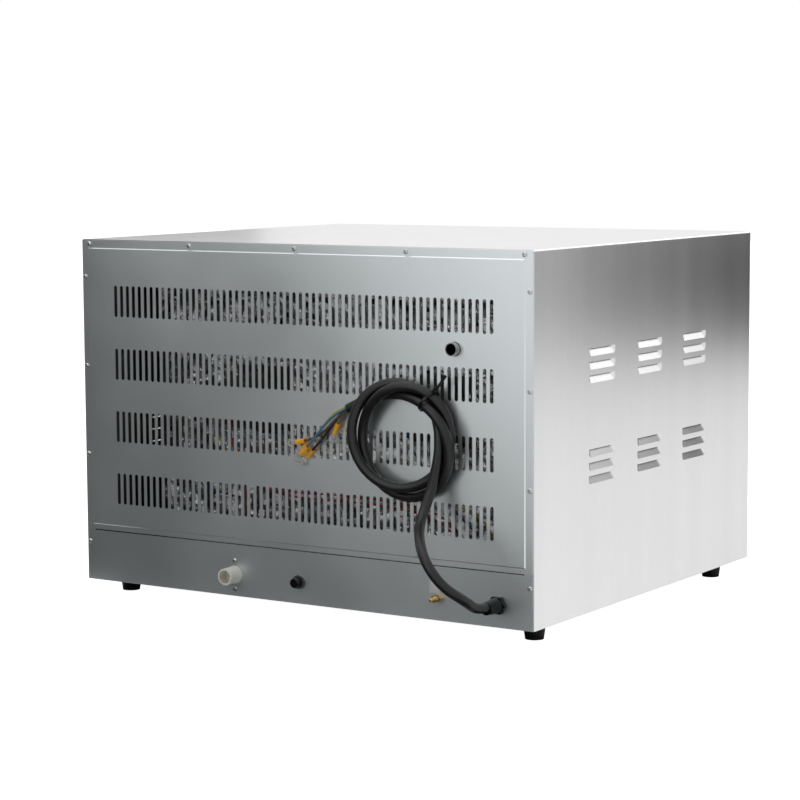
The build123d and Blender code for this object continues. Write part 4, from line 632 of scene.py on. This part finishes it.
# %% Outer sheets
SHEET_GRAIN = 2600.0
ZINC_CLOUDS = 3.0
ZINC_SKIN = 700.0
# Each sheet's inner side takes a dark colour as painted shade of the casing's interior.
side_steel = brushed_metal(
    "side_steel", grain_upright, grey(0.71), grey(0.79), 0.33,
    fineness=SHEET_GRAIN, inner_shade_colour=grey(0.10))
front_steel = brushed_metal(
    "front_steel", grain_level, grey(0.66), grey(0.74), 0.30, fineness=SHEET_GRAIN)
zinc_sheet = cloudy_metal(
    "zinc_sheet", (0.66, 0.705, 0.715), (0.71, 0.755, 0.765), 0.36,
    size=ZINC_CLOUDS, fineness=ZINC_SKIN, inner_shade_colour=(0.34, 0.34, 0.35))
plate_zinc = cloudy_metal(
    "plate_zinc", (0.50, 0.54, 0.55), (0.55, 0.59, 0.60), 0.42,
    size=ZINC_CLOUDS, fineness=ZINC_SKIN, inner_shade_colour=(0.16, 0.16, 0.17))
wrap.data.materials.clear()
wrap.data.materials.append(side_steel)
dress(zinc_sheet, "rear_panel", "base_pan")
dress(front_steel, "front_frame", "control_panel", "door_frame", "door_inner_panel")
print("sheets dressed")

# %% [markdown]
# ## The hot chamber and its parts
# Inside are a plain stainless chamber, wire racks, two fan wheels on shafts,
# and ring shaped heaters whose sheath has gone dark from heat.

# %% Chamber metals
chamber_steel = cloudy_metal("chamber_steel", (0.46, 0.46, 0.45), (0.58, 0.58, 0.57), 0.30)
rack_wire = cloudy_metal("rack_wire", grey(0.62), grey(0.72), 0.16, size=30.0)
heater_sheath = cloudy_metal("heater_sheath", (0.10, 0.09, 0.085), (0.20, 0.18, 0.17), 0.45, size=25.0)
shaft_steel = brushed_metal("shaft_steel", grain_level, grey(0.50), grey(0.62), 0.25)
motor_paint = cloudy_metal(
    "motor_paint", (0.060, 0.064, 0.045), (0.095, 0.10, 0.072), 0.5,
    size=20.0, metallic=0.0, depth=0.0002, fineness=400.0)
handle_steel = brushed_metal("handle_steel", grain_level, grey(0.58), grey(0.70), 0.22)
dress(chamber_steel, "oven_chamber", "fan_baffle", "fan_wheel_left", "fan_wheel_right")
dress(rack_wire, "rack_left", "rack_right")
dress(heater_sheath, "heating_element_left", "heating_element_right")
dress(shaft_steel, "fan_shaft_left", "fan_shaft_right", "hinge_bracket_left", "hinge_bracket_right")
dress(motor_paint, "fan_motor_left", "fan_motor_right")
dress(handle_steel, "door_handle")

# %% [markdown]
# ## Rubber and nylon
# The feet, gasket and cable jacket are black rubber with a soft sheen. Nylon
# fittings are smoother, and the inlet's white nylon lets a little light in.

# %% Mouldings
jacket_rubber = moulding(
    "jacket_rubber", grey(0.004), grey(0.009), 0.36,
    fineness=900.0, depth=0.00005, specular_ior_level=0.38)
foot_rubber = moulding("foot_rubber", grey(0.003), grey(0.007), 0.5, specular_ior_level=0.15)
gasket_rubber = moulding("gasket_rubber", (0.030, 0.029, 0.028), (0.055, 0.053, 0.050), 0.65)
black_nylon = moulding("black_nylon", grey(0.002), grey(0.005), 0.22, specular_ior_level=0.20)
control_plastic = moulding("control_plastic", (0.040, 0.040, 0.042), (0.07, 0.07, 0.072), 0.45)
white_nylon = moulding(
    "white_nylon", (0.72, 0.71, 0.64), (0.82, 0.81, 0.75), 0.38,
    subsurface_weight=0.15, subsurface_scale=0.003)
blue_button = moulding("blue_button", (0.02, 0.08, 0.22), (0.03, 0.11, 0.28), 0.32)
amber_lens = moulding("amber_lens", (0.55, 0.20, 0.02), (0.70, 0.30, 0.04), 0.2, transmission_weight=0.5)
dress(foot_rubber, "foot_front_left", "foot_front_right", "foot_rear_left", "foot_rear_right")
dress(gasket_rubber, "door_gasket")
dress(black_nylon, "cable_gland", "gland_nut", "cable_tie", "reset_button")
dress(black_nylon, "temperature_knob", "timer_knob")
dress(control_plastic, "temperature_thermostat", "timer_body", "steam_switch", "safety_thermostat")
dress(white_nylon, "water_valve", "terminal_block")
dress(blue_button, "steam_button")
dress(amber_lens, "indicator_lamps")
supply_cable.data.materials.append(jacket_rubber)

# %% [markdown]
# ## Glass
# The door has two clear panes with a grey-green tint, and the lamp's cover is
# frosted. A glass shader with a little cloudy roughness does both.

# %% Glass
GLASS_IOR = 1.5
GLASS_SPREAD = 0.015


def glass_material(name, tint, rough):
    """Clear or frosted glass with a plain tint; rough is its smoothest value."""
    material, tree, shader = start_material(
        name, base_color=(*tint, 1.0), transmission_weight=1.0, ior=GLASS_IOR)
    clouds = add(tree, "ShaderNodeGroup", node_tree=mottle)
    uneven_gloss(tree, shader, clouds.outputs["Cloud"], rough + GLASS_SPREAD, GLASS_SPREAD)
    return material


door_glass = glass_material("door_glass", (0.55, 0.60, 0.58), 0.01)
lamp_glass = glass_material("lamp_glass", (0.92, 0.90, 0.84), 0.18)
dress(door_glass, "door_outer_glass", "door_inner_glass")
dress(lamp_glass, "oven_lamp")

# %% [markdown]
# ## Terminals and insulation colours
# The cores are coded by colour, the ring terminals are tinned copper and their
# sleeves are a warm yellow. A real earth core is striped green and yellow. At
# this size the stripes blend, so it has one tone between the two.

# %% Wire finishes
SHADE = 0.8
PVC_ROUGH = 0.32
PVC_SKIN = 2500.0


def insulation(name, colour):
    """Soft PVC insulation of one colour, a little uneven."""
    dark = tuple(c * SHADE for c in colour)
    return moulding(name, dark, colour, PVC_ROUGH, fineness=PVC_SKIN)


tinned = cloudy_metal(
    "tinned_copper", (0.82, 0.82, 0.81), (0.95, 0.95, 0.94), 0.16, size=120.0, metallic=0.75)
sleeve_yellow = insulation("sleeve_yellow", (0.95, 0.46, 0.02))
brass = cloudy_metal("turned_brass", (0.55, 0.40, 0.16), (0.72, 0.55, 0.25), 0.25, size=90.0)
copper_pipe = cloudy_metal("copper_pipe", (0.20, 0.13, 0.09), (0.30, 0.19, 0.13), 0.42, size=40.0)
# The outlet tube's dark tone is painted reflection: the dark surroundings that its bright steel would
# mirror.
outlet_steel = cloudy_metal("outlet_steel", (0.14, 0.14, 0.135), (0.34, 0.34, 0.33), 0.20, size=160.0)
dress(tinned, "ring_terminals")
dress(sleeve_yellow, "terminal_sleeves")
dress(brass, "earth_terminal")
dress(copper_pipe, "water_pipe")
dress(outlet_steel, "steam_outlet_tube")
core_colours = {
    "core_earth": (0.62, 0.52, 0.04),
    "core_blue": (0.06, 0.20, 0.33),
    "core_brown": (0.13, 0.07, 0.045),
    "core_black": (0.02, 0.02, 0.022),
    "core_grey": grey(0.18),
}
for core_name, colour in core_colours.items():
    cores[core_name].data.materials.append(insulation(core_name + "_insulation", colour))

# %% [markdown]
# ## Wires inside the casing
# Thin wires run from the terminal block to the fan motors, and show as red,
# yellow and blue flecks through the slots. They are held at both ends, so they
# are plain curves that stand for the wiring solid.

# %% Motor wires
MOTOR_WIRE_D = 0.003
motor_wire_routes = {
    "motor_wire_blue": ((0.03, 0.10, 0.35), [
        (-0.349, 0.3375, 0.072), (-0.349, 0.3375, 0.100), (-0.268, 0.350, 0.170),
        (-0.190, 0.350, 0.250), (-0.172, 0.352, 0.300), (-0.172, 0.329, 0.300)]),
    "motor_wire_red": ((0.55, 0.02, 0.02), [
        (-0.301, 0.3375, 0.072), (-0.301, 0.3375, 0.090), (-0.250, 0.352, 0.170),
        (-0.183, 0.352, 0.187), (-0.060, 0.352, 0.192), (0.062, 0.350, 0.187),
        (0.140, 0.350, 0.220), (0.160, 0.350, 0.306), (0.160, 0.329, 0.306)]),
    "motor_wire_yellow": ((0.62, 0.50, 0.05), [
        (-0.325, 0.3375, 0.072), (-0.325, 0.3375, 0.130), (-0.300, 0.362, 0.196),
        (-0.100, 0.364, 0.208), (0.060, 0.362, 0.222), (0.150, 0.355, 0.234),
        (0.185, 0.352, 0.270), (0.185, 0.352, 0.296), (0.185, 0.329, 0.296)]),
    "motor_wire_red_second": ((0.55, 0.02, 0.02), [
        (-0.301, 0.3375, 0.072), (-0.301, 0.3400, 0.085), (-0.252, 0.356, 0.160),
        (-0.183, 0.357, 0.180), (-0.060, 0.357, 0.184), (0.062, 0.355, 0.181),
        (0.143, 0.355, 0.214), (0.163, 0.352, 0.306), (0.163, 0.329, 0.306)]),
    "motor_wire_blue_left": ((0.03, 0.06, 0.22), [
        (0.172, 0.329, 0.312), (0.172, 0.354, 0.312), (0.190, 0.362, 0.330),
        (0.232, 0.366, 0.318), (0.238, 0.366, 0.260), (0.222, 0.366, 0.205),
        (0.190, 0.364, 0.180), (0.120, 0.362, 0.176)]),
}
for wire_name, (colour, places) in motor_wire_routes.items():
    wire = cord_curve(wire_name, [Vector(p) for p in places], MOTOR_WIRE_D, "casing", sides=5)
    wire.data.materials.append(insulation(wire_name + "_insulation", colour))
    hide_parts("wiring_loom")

# %% [markdown]
# ## The foil faced blanket
# Wool wrapped in aluminium foil keeps the heat in the chamber. Foil is never
# flat: it creases into small facets that flash. The rear face of the blanket's
# solid is cut in small cells here, and two noises push them in and out.

# %% Crumpled foil
FOIL_CELL = 0.009
FOIL_DEPTH = 0.0060
FOIL_JITTER = 0.0022
BROAD_CREASES = 38.0
BROAD_HEIGHT = 2.6
FINE_CREASES = 95.0
FINE_HEIGHT = 1.6
FINE_SHIFT = Vector((7.0, 3.0, 1.0))
JITTER_SCALE = 210.0
JITTER_SHIFT = Vector((5.0, 5.0, 5.0))
FLAT_ENOUGH = 0.99
SAME_PLANE = 1e-4
SAME_POINT = 1e-6


def welded(node_name):
    """A node's mesh as a bmesh whose doubled points are joined."""
    mesh = bmesh.new()
    mesh.from_mesh(nodes[node_name].data)
    bmesh.ops.remove_doubles(mesh, verts=mesh.verts, dist=SAME_POINT)
    return mesh


def finished(name, mesh):
    """The mesh data of a bmesh that is needed no more."""
    data = bpy.data.meshes.new(name)
    mesh.to_mesh(data)
    mesh.free()
    return data


def cut_in_cells(mesh, faces, axis, low, high, cell):
    """Cuts flat faces by evenly spaced planes square to one axis."""
    normal = Vector((0, 0, 0))
    normal[axis] = 1.0
    steps = round((high - low) / cell)
    for i in range(1, steps):
        place = normal * (low + (high - low) * i / steps)
        geometry = set(faces)
        for face in faces:
            geometry.update(face.edges)
            geometry.update(face.verts)
        cut = bmesh.ops.bisect_plane(mesh, geom=list(geometry), plane_co=place, plane_no=normal)
        faces = [g for g in cut["geom"] if isinstance(g, bmesh.types.BMFace)]
    return faces


def crumple(point):
    """Creases of thin foil as a height: ridges of two sizes, 1 at their highest."""
    broad = abs(noise.noise(point * BROAD_CREASES))
    fine = abs(noise.noise(point * FINE_CREASES + FINE_SHIFT))
    return 1.0 - BROAD_HEIGHT * broad - FINE_HEIGHT * fine


def crumpled_copy(name, node_name):
    """A copy of a node's mesh whose widest rear face is creased like foil."""
    mesh = welded(node_name)
    mesh.normal_update()
    rear = max(v.co.y for v in mesh.verts)
    faces = [
        f for f in mesh.faces
        if f.normal.y > FLAT_ENOUGH and abs(f.calc_center_median().y - rear) < SAME_PLANE
    ]
    for axis in (0, 2):
        spread = [v.co[axis] for f in faces for v in f.verts]
        faces = cut_in_cells(mesh, faces, axis, min(spread), max(spread), FOIL_CELL)
    flat = set(faces)
    inner = [
        v for v in {v for f in faces for v in f.verts}
        if all(f in flat for f in v.link_faces)
    ]
    bmesh.ops.triangulate(mesh, faces=faces, quad_method="ALTERNATE")
    for v in inner:
        start = v.co.copy()
        v.co.y += FOIL_DEPTH * crumple(start)
        v.co.x += FOIL_JITTER * noise.noise(start * JITTER_SCALE)
        v.co.z += FOIL_JITTER * noise.noise(start * JITTER_SCALE + JITTER_SHIFT)
    data = finished(name, mesh)
    print(name, "creased points:", len(inner), "faces:", len(data.polygons))
    return casing_piece(name, data, node_name)


# %% [markdown]
# Foil is a mirror with wrinkles finer than the cells, so its finish is a bright
# metal with strong relief and a gloss that changes along the wrinkles.

# %% Foil finish and the blanket
WRINKLES = 160.0
WRINKLE_DEPTH = 0.003
WRINKLE_RELIEF = 0.8
FOIL_GLOSS = (0.05, 0.14)


def foil_material():
    """Bright metal whose fine wrinkles change its tone, gloss and relief."""
    material, tree, shader = start_material("crumpled_foil", metallic=1.0)
    wrinkles = add(tree, "ShaderNodeTexNoise", sockets={"Scale": WRINKLES, "Detail": 4.0})
    in_object_space(tree, wrinkles)
    height = wrinkles.outputs["Fac"]
    tone_mix(tree, shader, height, grey(0.86), grey(0.97))
    gloss = remap(tree, height, CLOUD_LOW, CLOUD_HIGH, *FOIL_GLOSS)
    tree.links.new(gloss, shader.inputs["Roughness"])
    relief(tree, shader, height, WRINKLE_RELIEF, WRINKLE_DEPTH)
    return material


foil_blanket = crumpled_copy("foil_blanket", "insulation_blanket")
foil_blanket.data.materials.append(foil_material())

# %% [markdown]
# ## Screws
# Pan head screws with a cross recess hold the panels. The solids are plain
# domes, so each head is turned here from a profile, and the recess is let into
# its flat middle. They take their places from the solids that they stand for.

# %% Screw sizes and where the screws sit
SCREW_PROFILE = [
    (0.0019, -0.0080), (0.0019, 0.0000), (0.0038, 0.0000), (0.0038, 0.0008),
    (0.0036, 0.0014), (0.0031, 0.0019), (0.0024, 0.0023),
]
SCREW_SIDES = 28
RECESS_ARM = 0.0019
RECESS_HALF = 0.00045
RECESS_DEPTH = 0.0013
RECESS_TAPER = 0.7
SCREW_SEED = 4


def islands(mesh):
    """Groups of joined points of a mesh."""
    left = set(mesh.verts)
    groups = []
    while left:
        edge_of_group = [left.pop()]
        group = list(edge_of_group)
        while edge_of_group:
            for edge in edge_of_group.pop().link_edges:
                for v in edge.verts:
                    if v in left:
                        left.remove(v)
                        edge_of_group.append(v)
                        group.append(v)
        groups.append(group)
    return groups


def node_islands(node_name):
    """Middle and rearmost Y of each separate piece of a node, in a fixed order."""
    mesh = welded(node_name)
    places = []
    for group in islands(mesh):
        xs, ys, zs = ([v.co[i] for v in group] for i in range(3))
        places.append(Vector(((min(xs) + max(xs)) / 2, max(ys), (min(zs) + max(zs)) / 2)))
    mesh.free()
    return sorted(places, key=lambda p: (round(p.z, 4), round(p.x, 4)))


# %% [markdown]
# Screws and sleeves are turned bodies: rings of points, joined by quads.

# %% Screw heads
def ring_of(mesh, radius, height, sides):
    """Points of a circle round Y."""
    return [
        mesh.verts.new((radius * math.cos(a), height, radius * math.sin(a)))
        for a in (math.tau * i / sides for i in range(sides))
    ]


def bridge(mesh, lower, upper):
    """Quads between two closed rings of as many points."""
    for i in range(len(lower)):
        k = (i + 1) % len(lower)
        mesh.faces.new((lower[i], upper[i], upper[k], lower[k]))


def add_screw(mesh, place, turn):
    """One pan head screw with a cross recess, its highest point at the place."""
    first = len(mesh.verts)
    rings = [ring_of(mesh, r, y, SCREW_SIDES) for r, y in SCREW_PROFILE]
    for lower, upper in zip(rings, rings[1:]):
        bridge(mesh, lower, upper)
    mesh.faces.new(rings[0])
    top = SCREW_PROFILE[-1][1]
    a, h = RECESS_ARM, RECESS_HALF
    outline = [
        (a, h), (h, h), (h, a), (-h, a), (-h, h), (-a, h),
        (-a, -h), (-h, -h), (-h, -a), (h, -a), (h, -h), (a, -h),
    ]
    lip = [mesh.verts.new((x, top, z)) for x, z in outline]
    pit_y = top - RECESS_DEPTH
    pit = [mesh.verts.new((x * RECESS_TAPER, pit_y, z * RECESS_TAPER)) for x, z in outline]
    bridge(mesh, lip, pit)
    mesh.faces.new(pit)
    rims = [
        mesh.edges.get((ring[i], ring[(i + 1) % len(ring)]))
        for ring in (rings[-1], lip) for i in range(len(ring))
    ]
    bmesh.ops.triangle_fill(mesh, use_beauty=True, edges=rims)
    mesh.verts.ensure_lookup_table()
    made = mesh.verts[first:]
    spin = Matrix.Rotation(turn, 4, "Y")
    move = Matrix.Translation(place - Vector((0, top, 0)))
    bmesh.ops.transform(mesh, matrix=move @ spin, verts=made)


screw_mesh = bmesh.new()
dice = random.Random(SCREW_SEED)
screw_places = node_islands("panel_screws")
for place in screw_places:
    add_screw(screw_mesh, place, dice.uniform(0, math.pi))
bmesh.ops.recalc_face_normals(screw_mesh, faces=screw_mesh.faces)
screw_data = finished("cross_screws", screw_mesh)
screw_data.materials.append(
    cloudy_metal("screw_zinc", (0.42, 0.42, 0.41), (0.60, 0.60, 0.59), 0.28, size=200.0)
)
casing_piece("cross_screws", screw_data, "panel_screws")
print("screws:", len(screw_places))

# %% [markdown]
# ## Terminal sleeves
# The yellow sleeve over each crimped barrel is a soft moulding with a flared
# mouth for the wire and a thicker band over the crimp. Each is turned from one
# profile along its own core's last run.

# %% Flared sleeves
SLEEVE_LAP = 0.004
SLEEVE_PROFILE = [
    (0.0021, 0.0010), (0.0038, 0.0000), (0.0044, 0.0004), (0.0045, 0.0018),
    (0.0041, 0.0040), (0.0038, 0.0055), (0.0038, 0.0080), (0.0041, 0.0095),
    (0.0042, 0.0150), (0.0040, 0.0170), (0.0036, 0.0180), (0.0019, 0.0180),
]
SLEEVE_SIDES = 28
SHARP_EDGE = math.radians(35)


def add_turned(mesh, profile, sides, place, direction):
    """A closed turned body whose profile runs along a direction from a place."""
    first = len(mesh.verts)
    rings = [ring_of(mesh, radius, along, sides) for radius, along in profile]
    for lower, upper in zip(rings, rings[1:]):
        bridge(mesh, lower, upper)
    mesh.faces.new(rings[0])
    mesh.faces.new(rings[-1])
    mesh.verts.ensure_lookup_table()
    lean = Vector((0, 1, 0)).rotation_difference(direction).to_matrix().to_4x4()
    bmesh.ops.transform(mesh, matrix=Matrix.Translation(place) @ lean, verts=mesh.verts[first:])


def mesh_piece(name, mesh, material, node_name=None):
    """A bmesh as a piece of the casing, smooth but for its sharp edges."""
    bmesh.ops.recalc_face_normals(mesh, faces=mesh.faces)
    data = finished(name, mesh)
    data.materials.append(material)
    for face in data.polygons:
        face.use_smooth = True
    data.set_sharp_from_angle(angle=SHARP_EDGE)
    return casing_piece(name, data, node_name)


sleeve_mesh = bmesh.new()
for _, _, core_points in CORE_ROUTES.values():
    core_end = behind_back(core_points[-1])
    last_run = (core_end - behind_back(core_points[-2])).normalized()
    mouth = core_end - last_run * SLEEVE_LAP
    add_turned(sleeve_mesh, SLEEVE_PROFILE, SLEEVE_SIDES, mouth, last_run)
flared_sleeves = mesh_piece(
    "flared_sleeves", sleeve_mesh, sleeve_yellow, "terminal_sleeves")
print("sleeve points:", len(flared_sleeves.data.vertices))

# %% [markdown]
# ## The seam over the lower plate
# The rear panel's last fold hangs a little proud of the plate below, and the
# gap between them reads as one dark line. The solids nearly touch there, so the
# visible plate is a copy whose top edge is cut a little lower.

# %% Plate with an open seam
SEAM_GAP = 0.0014
EDGE_BAND = 0.0006
plate_data = nodes["lower_rear_plate"].data.copy()
plate_data.materials.clear()
plate_top = max(v.co.z for v in plate_data.vertices)
for v in plate_data.vertices:
    if v.co.z > plate_top - EDGE_BAND:
        v.co.z -= SEAM_GAP
plate_data.materials.append(plate_zinc)
trimmed_plate = casing_piece(
    "trimmed_plate", plate_data, "lower_rear_plate")
print("seam gap in metres:", SEAM_GAP)

# %% [markdown]
# ## A bare label plate
# A small square plate sits above the earth stud. Its place is kept and left
# bare, with only its raised rim, since the part carries no marks.

# %% Label plate
PLATE_X = -0.248
PLATE_Z = 0.0745
PLATE_HALF = 0.009
PLATE_RIM = 0.0010
PLATE_THICK = 0.0005
PLATE_STEP = 0.0002
plate_back = max(v.co.y for v in nodes["lower_rear_plate"].data.vertices)
plate_mesh = bmesh.new()
plate_rings = []
for half, height in (
    (PLATE_HALF, 0.0), (PLATE_HALF, PLATE_THICK), (PLATE_HALF - PLATE_RIM, PLATE_THICK),
    (PLATE_HALF - PLATE_RIM, PLATE_THICK - PLATE_STEP),
):
    plate_rings.append([
        plate_mesh.verts.new((PLATE_X + i * half, plate_back + height, PLATE_Z + k * half))
        for i, k in ((-1, -1), (1, -1), (1, 1), (-1, 1))
    ])
for lower, upper in zip(plate_rings, plate_rings[1:]):
    bridge(plate_mesh, lower, upper)
plate_mesh.faces.new(plate_rings[0])
plate_mesh.faces.new(plate_rings[-1])
label_film = cloudy_metal(
    "label_film", (0.58, 0.60, 0.61), (0.66, 0.68, 0.69), 0.4, size=80.0, metallic=0.15)
mesh_piece("label_plate", plate_mesh, label_film)

# %% [markdown]
# ## Marks round the knobs
# The front isn't in the photograph. A cook still has to read a dial, so each
# knob gets a plain ring of printed ticks and plain numbers, degrees on the left
# and minutes on the right. They are thin solids on the panel, as thick print is.

# %% Dial ticks and numbers
DIAL_SWEEP = math.radians(300.0)
DIAL_STEPS = 12
DIAL_GAP = 0.0025
TICK_LONG = 0.0032
TICK_WIDE = 0.0007
PRINT_THICK = 0.00015
NUMBER_TALL = 0.0048
NUMBER_GAP = 0.0050
DIALS = {
    "temperature_knob": [50, 100, 150, 200, 250, 300],
    "timer_knob": [0, 20, 40, 60, 80, 100],
}
panel_front = min(v.co.y for v in nodes["control_panel"].data.vertices)
dial_print = moulding("dial_print", grey(0.012), grey(0.022), 0.5)


def dial_place(middle, radius, angle):
    """A point on the panel at a clock angle from a knob's middle."""
    x = middle.x + radius * math.sin(angle)
    z = middle.z + radius * math.cos(angle)
    return Vector((x, panel_front, z))


def add_tick(mesh, middle, radius, angle):
    """One printed tick that points at the knob."""
    along = Vector((math.sin(angle), 0, math.cos(angle)))
    across = Vector((math.cos(angle), 0, -math.sin(angle))) * (TICK_WIDE / 2)
    inner = dial_place(middle, radius, angle)
    outer = inner + along * TICK_LONG
    corners = [inner - across, inner + across, outer + across, outer - across]
    lift = Vector((0, -PRINT_THICK, 0))
    back = [mesh.verts.new(c) for c in corners]
    front = [mesh.verts.new(c + lift) for c in corners]
    bridge(mesh, back, front)
    mesh.faces.new(back)
    mesh.faces.new(front)


def number_mesh(value, place):
    """A number as thin flat letters that face the door side."""
    letters = bpy.data.curves.new("dial_number", "FONT")
    letters.body = str(value)
    letters.size = NUMBER_TALL
    letters.align_x = "CENTER"
    letters.align_y = "CENTER"
    letters.extrude = PRINT_THICK
    carrier = bpy.data.objects.new("dial_number", letters)
    data = bpy.data.meshes.new_from_object(carrier)
    data.transform(Matrix.Translation(place) @ Matrix.Rotation(math.radians(90), 4, "X"))
    bpy.data.objects.remove(carrier)
    return data


dial_mesh = bmesh.new()
for knob_name, numbers in DIALS.items():
    low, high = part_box(knob_name)
    middle = (Vector(low) + Vector(high)) / 2
    rim = (high[0] - low[0]) / 2 + DIAL_GAP
    for i in range(DIAL_STEPS):
        add_tick(dial_mesh, middle, rim, DIAL_SWEEP * (i / (DIAL_STEPS - 1) - 0.5))
    for i, value in enumerate(numbers):
        angle = DIAL_SWEEP * ((2 * i + 1) / (DIAL_STEPS - 1) - 0.5)
        number = number_mesh(value, dial_place(middle, rim + TICK_LONG + NUMBER_GAP, angle))
        dial_mesh.from_mesh(number)
        bpy.data.meshes.remove(number)
mesh_piece("dial_marks", dial_mesh, dial_print)
print("dials:", sorted(DIALS))

# %% [markdown]
# ## Folded and cut edges
# A laser cut or folded sheet has a tiny round on every edge, and that line
# catches light. A bevel modifier of under half a millimetre on the large sheets
# gives it without touching their meshes.

# %% Edge rounds
EDGE_ROUND = 0.0004
EDGE_STEPS = 2
EDGE_ANGLE = math.radians(40)
SHEET_NAMES = ("rear_panel", "front_frame", "control_panel", "door_frame")
for sheet in [wrap, trimmed_plate] + [nodes[name] for name in SHEET_NAMES]:
    edge = sheet.modifiers.new("edge_round", "BEVEL")
    edge.width = EDGE_ROUND
    edge.segments = EDGE_STEPS
    edge.limit_method = "ANGLE"
    edge.angle_limit = EDGE_ANGLE
    edge.harden_normals = True

# %% [markdown]
# ## Room, light and background
# The photograph has a white ground without a shadow. A floor lit until it is
# white would need far more light, and the pale steel would burn out with it. So
# the floor glows for the camera's rays, which also hides the shadow on it, and
# glows less for mirror rays, so that the metal shows a pale ground.

# %% Floor
FLOOR_REACH = 12.0
FLOOR_IN_MIRRORS = 0.55
WHITE = (1.0, 1.0, 1.0, 1.0)


def studio_floor():
    """A floor that is white to the camera and a pale grey in mirrors."""
    r = FLOOR_REACH
    mesh = bpy.data.meshes.new("studio_floor")
    mesh.from_pydata([(-r, -r, 0), (r, -r, 0), (r, r, 0), (-r, r, 0)], [], [(0, 1, 2, 3)])
    floor = new_object("studio_floor", mesh)
    material, tree, shader = start_material(
        "floor_paper", base_color=(0.86, 0.86, 0.86, 1.0), roughness=0.9, emission_color=WHITE)
    path = add(tree, "ShaderNodeLightPath")
    mirrored = add(tree, "ShaderNodeMath", operation="MULTIPLY")
    mirrored.inputs[1].default_value = FLOOR_IN_MIRRORS
    glow = add(tree, "ShaderNodeMath", operation="MAXIMUM")
    join(path, "Is Glossy Ray", mirrored, 0)
    join(path, "Is Camera Ray", glow, 0)
    join(mirrored, "Value", glow, 1)
    join(glow, "Value", shader, "Emission Strength")
    mesh.materials.append(material)


studio_floor()

# %% [markdown]
# The world is white where the camera, a mirror or glass looks at it. Rays that
# only light the object meet a weak even sky.

# %% World
SKY_LIGHT = 0.30


def studio_world():
    """A world that is white to look at and gives the object a weak even light."""
    world = bpy.data.worlds.new("studio_world")
    bpy.context.scene.world = world
    world.use_nodes = True
    tree = world.node_tree
    background = tree.nodes["Background"]
    background.inputs["Color"].default_value = WHITE
    path = add(tree, "ShaderNodeLightPath")
    seen = add(tree, "ShaderNodeMath", operation="MAXIMUM")
    through = add(tree, "ShaderNodeMath", operation="MAXIMUM")
    join(path, "Is Camera Ray", seen, 0)
    join(path, "Is Glossy Ray", seen, 1)
    join(path, "Is Transmission Ray", through, 0)
    join(seen, "Value", through, 1)
    strength = remap(tree, through.outputs["Value"], 0.0, 1.0, SKY_LIGHT, 1.0)
    tree.links.new(strength, background.inputs["Strength"])


studio_world()

# %% [markdown]
# Large soft lamps shape the object. One hangs over it, one stands behind it and
# lights the slotted rear, and one lights the door side from the left. Each row
# below has the lamp's place, the point that it looks at, its size and its power.

# %% Lamps
LAMPS = {
    "lamp_over": ((0.0, 0.6, 2.6), (0, 0, 0.2), 2.4, 15),
    "lamp_rear": ((0.3, 3.2, 1.5), (-0.1, 0.3, 0.3), 1.4, 9),
    "lamp_side": ((-1.3, -3.0, 2.2), (-0.4, 0, 0.3), 2.5, 15),
}


def soft_lamp(name, place, aim, size, power):
    """A square area lamp that points at a place."""
    data = bpy.data.lights.new(name, "AREA")
    data.size = size
    data.energy = power
    lamp = new_object(name, data)
    lamp.location = place
    lamp.rotation_euler = (Vector(aim) - Vector(place)).to_track_quat("-Z", "Y").to_euler()


for lamp_name, values in LAMPS.items():
    soft_lamp(lamp_name, *values)
print("lamps:", sorted(LAMPS))

# %% [markdown]
# A brushed sheet shows the room as a soft gradient. In the photograph the rear
# runs from dark to light and the near side is darker along its top, so boards
# of black, grey and pale card stand round the object where the metal mirrors
# them. The camera doesn't see them, and they give no diffuse light or shadow.

# %% Cards that the metal mirrors
def card_paint(name, glow):
    """Matt black, or a card that glows a little and so looks grey in the metal."""
    return moulding(
        name, grey(0.010), grey(0.014), 0.9,
        specular_ior_level=0.0, emission_color=WHITE, emission_strength=glow)


card_black = card_paint("card_black", 0.0)
card_grey = card_paint("card_grey", 0.10)
card_pale = card_paint("card_pale", 0.34)
CARDS = {
    "card_rear": (card_grey, [
        (0.45, 1.42, 0.0), (1.90, 0.80, 0.0), (1.90, 0.80, 1.60), (0.45, 1.42, 0.42)]),
    "card_rear_low": (card_grey, [
        (-0.5, 0.45, 0.002), (1.6, 0.45, 0.002), (4.5, 2.5, 0.002), (0.3, 2.0, 0.002)]),
    "card_far": (card_pale, [
        (1.45, -1.5, 0.45), (3.4, -1.5, 0.45), (3.4, -1.5, 1.5), (1.45, -1.5, 1.5)]),
    # The black card under the body is painted shade: the metal mirrors it where the floor under the oven
    # lies in shade.
    "card_under": (card_black, [
        (-0.40, -0.32, 0.001), (0.40, -0.32, 0.001), (0.40, 0.44, 0.001), (-0.40, 0.44, 0.001)]),
    "card_side": (card_black, [
        (-1.35, -0.97, 0.28), (-0.31, -1.64, 0.28), (-0.31, -1.64, 0.66), (-1.35, -0.97, 0.66)]),
}


def mirror_card(name, paint, corners):
    """A board that only mirror rays meet."""
    mesh = bpy.data.meshes.new(name)
    mesh.from_pydata(corners, [], [(0, 1, 2, 3)])
    mesh.materials.append(paint)
    card = new_object(name, mesh)
    card.visible_camera = False
    card.visible_diffuse = False
    card.visible_shadow = False


for card_name, (paint, corners) in CARDS.items():
    mirror_card(card_name, paint, corners)
print("cards:", sorted(CARDS))

# %% [markdown]
# Colours have to come out as they are written, so the view stays Standard.

# %% View
bpy.context.scene.view_settings.view_transform = "Standard"
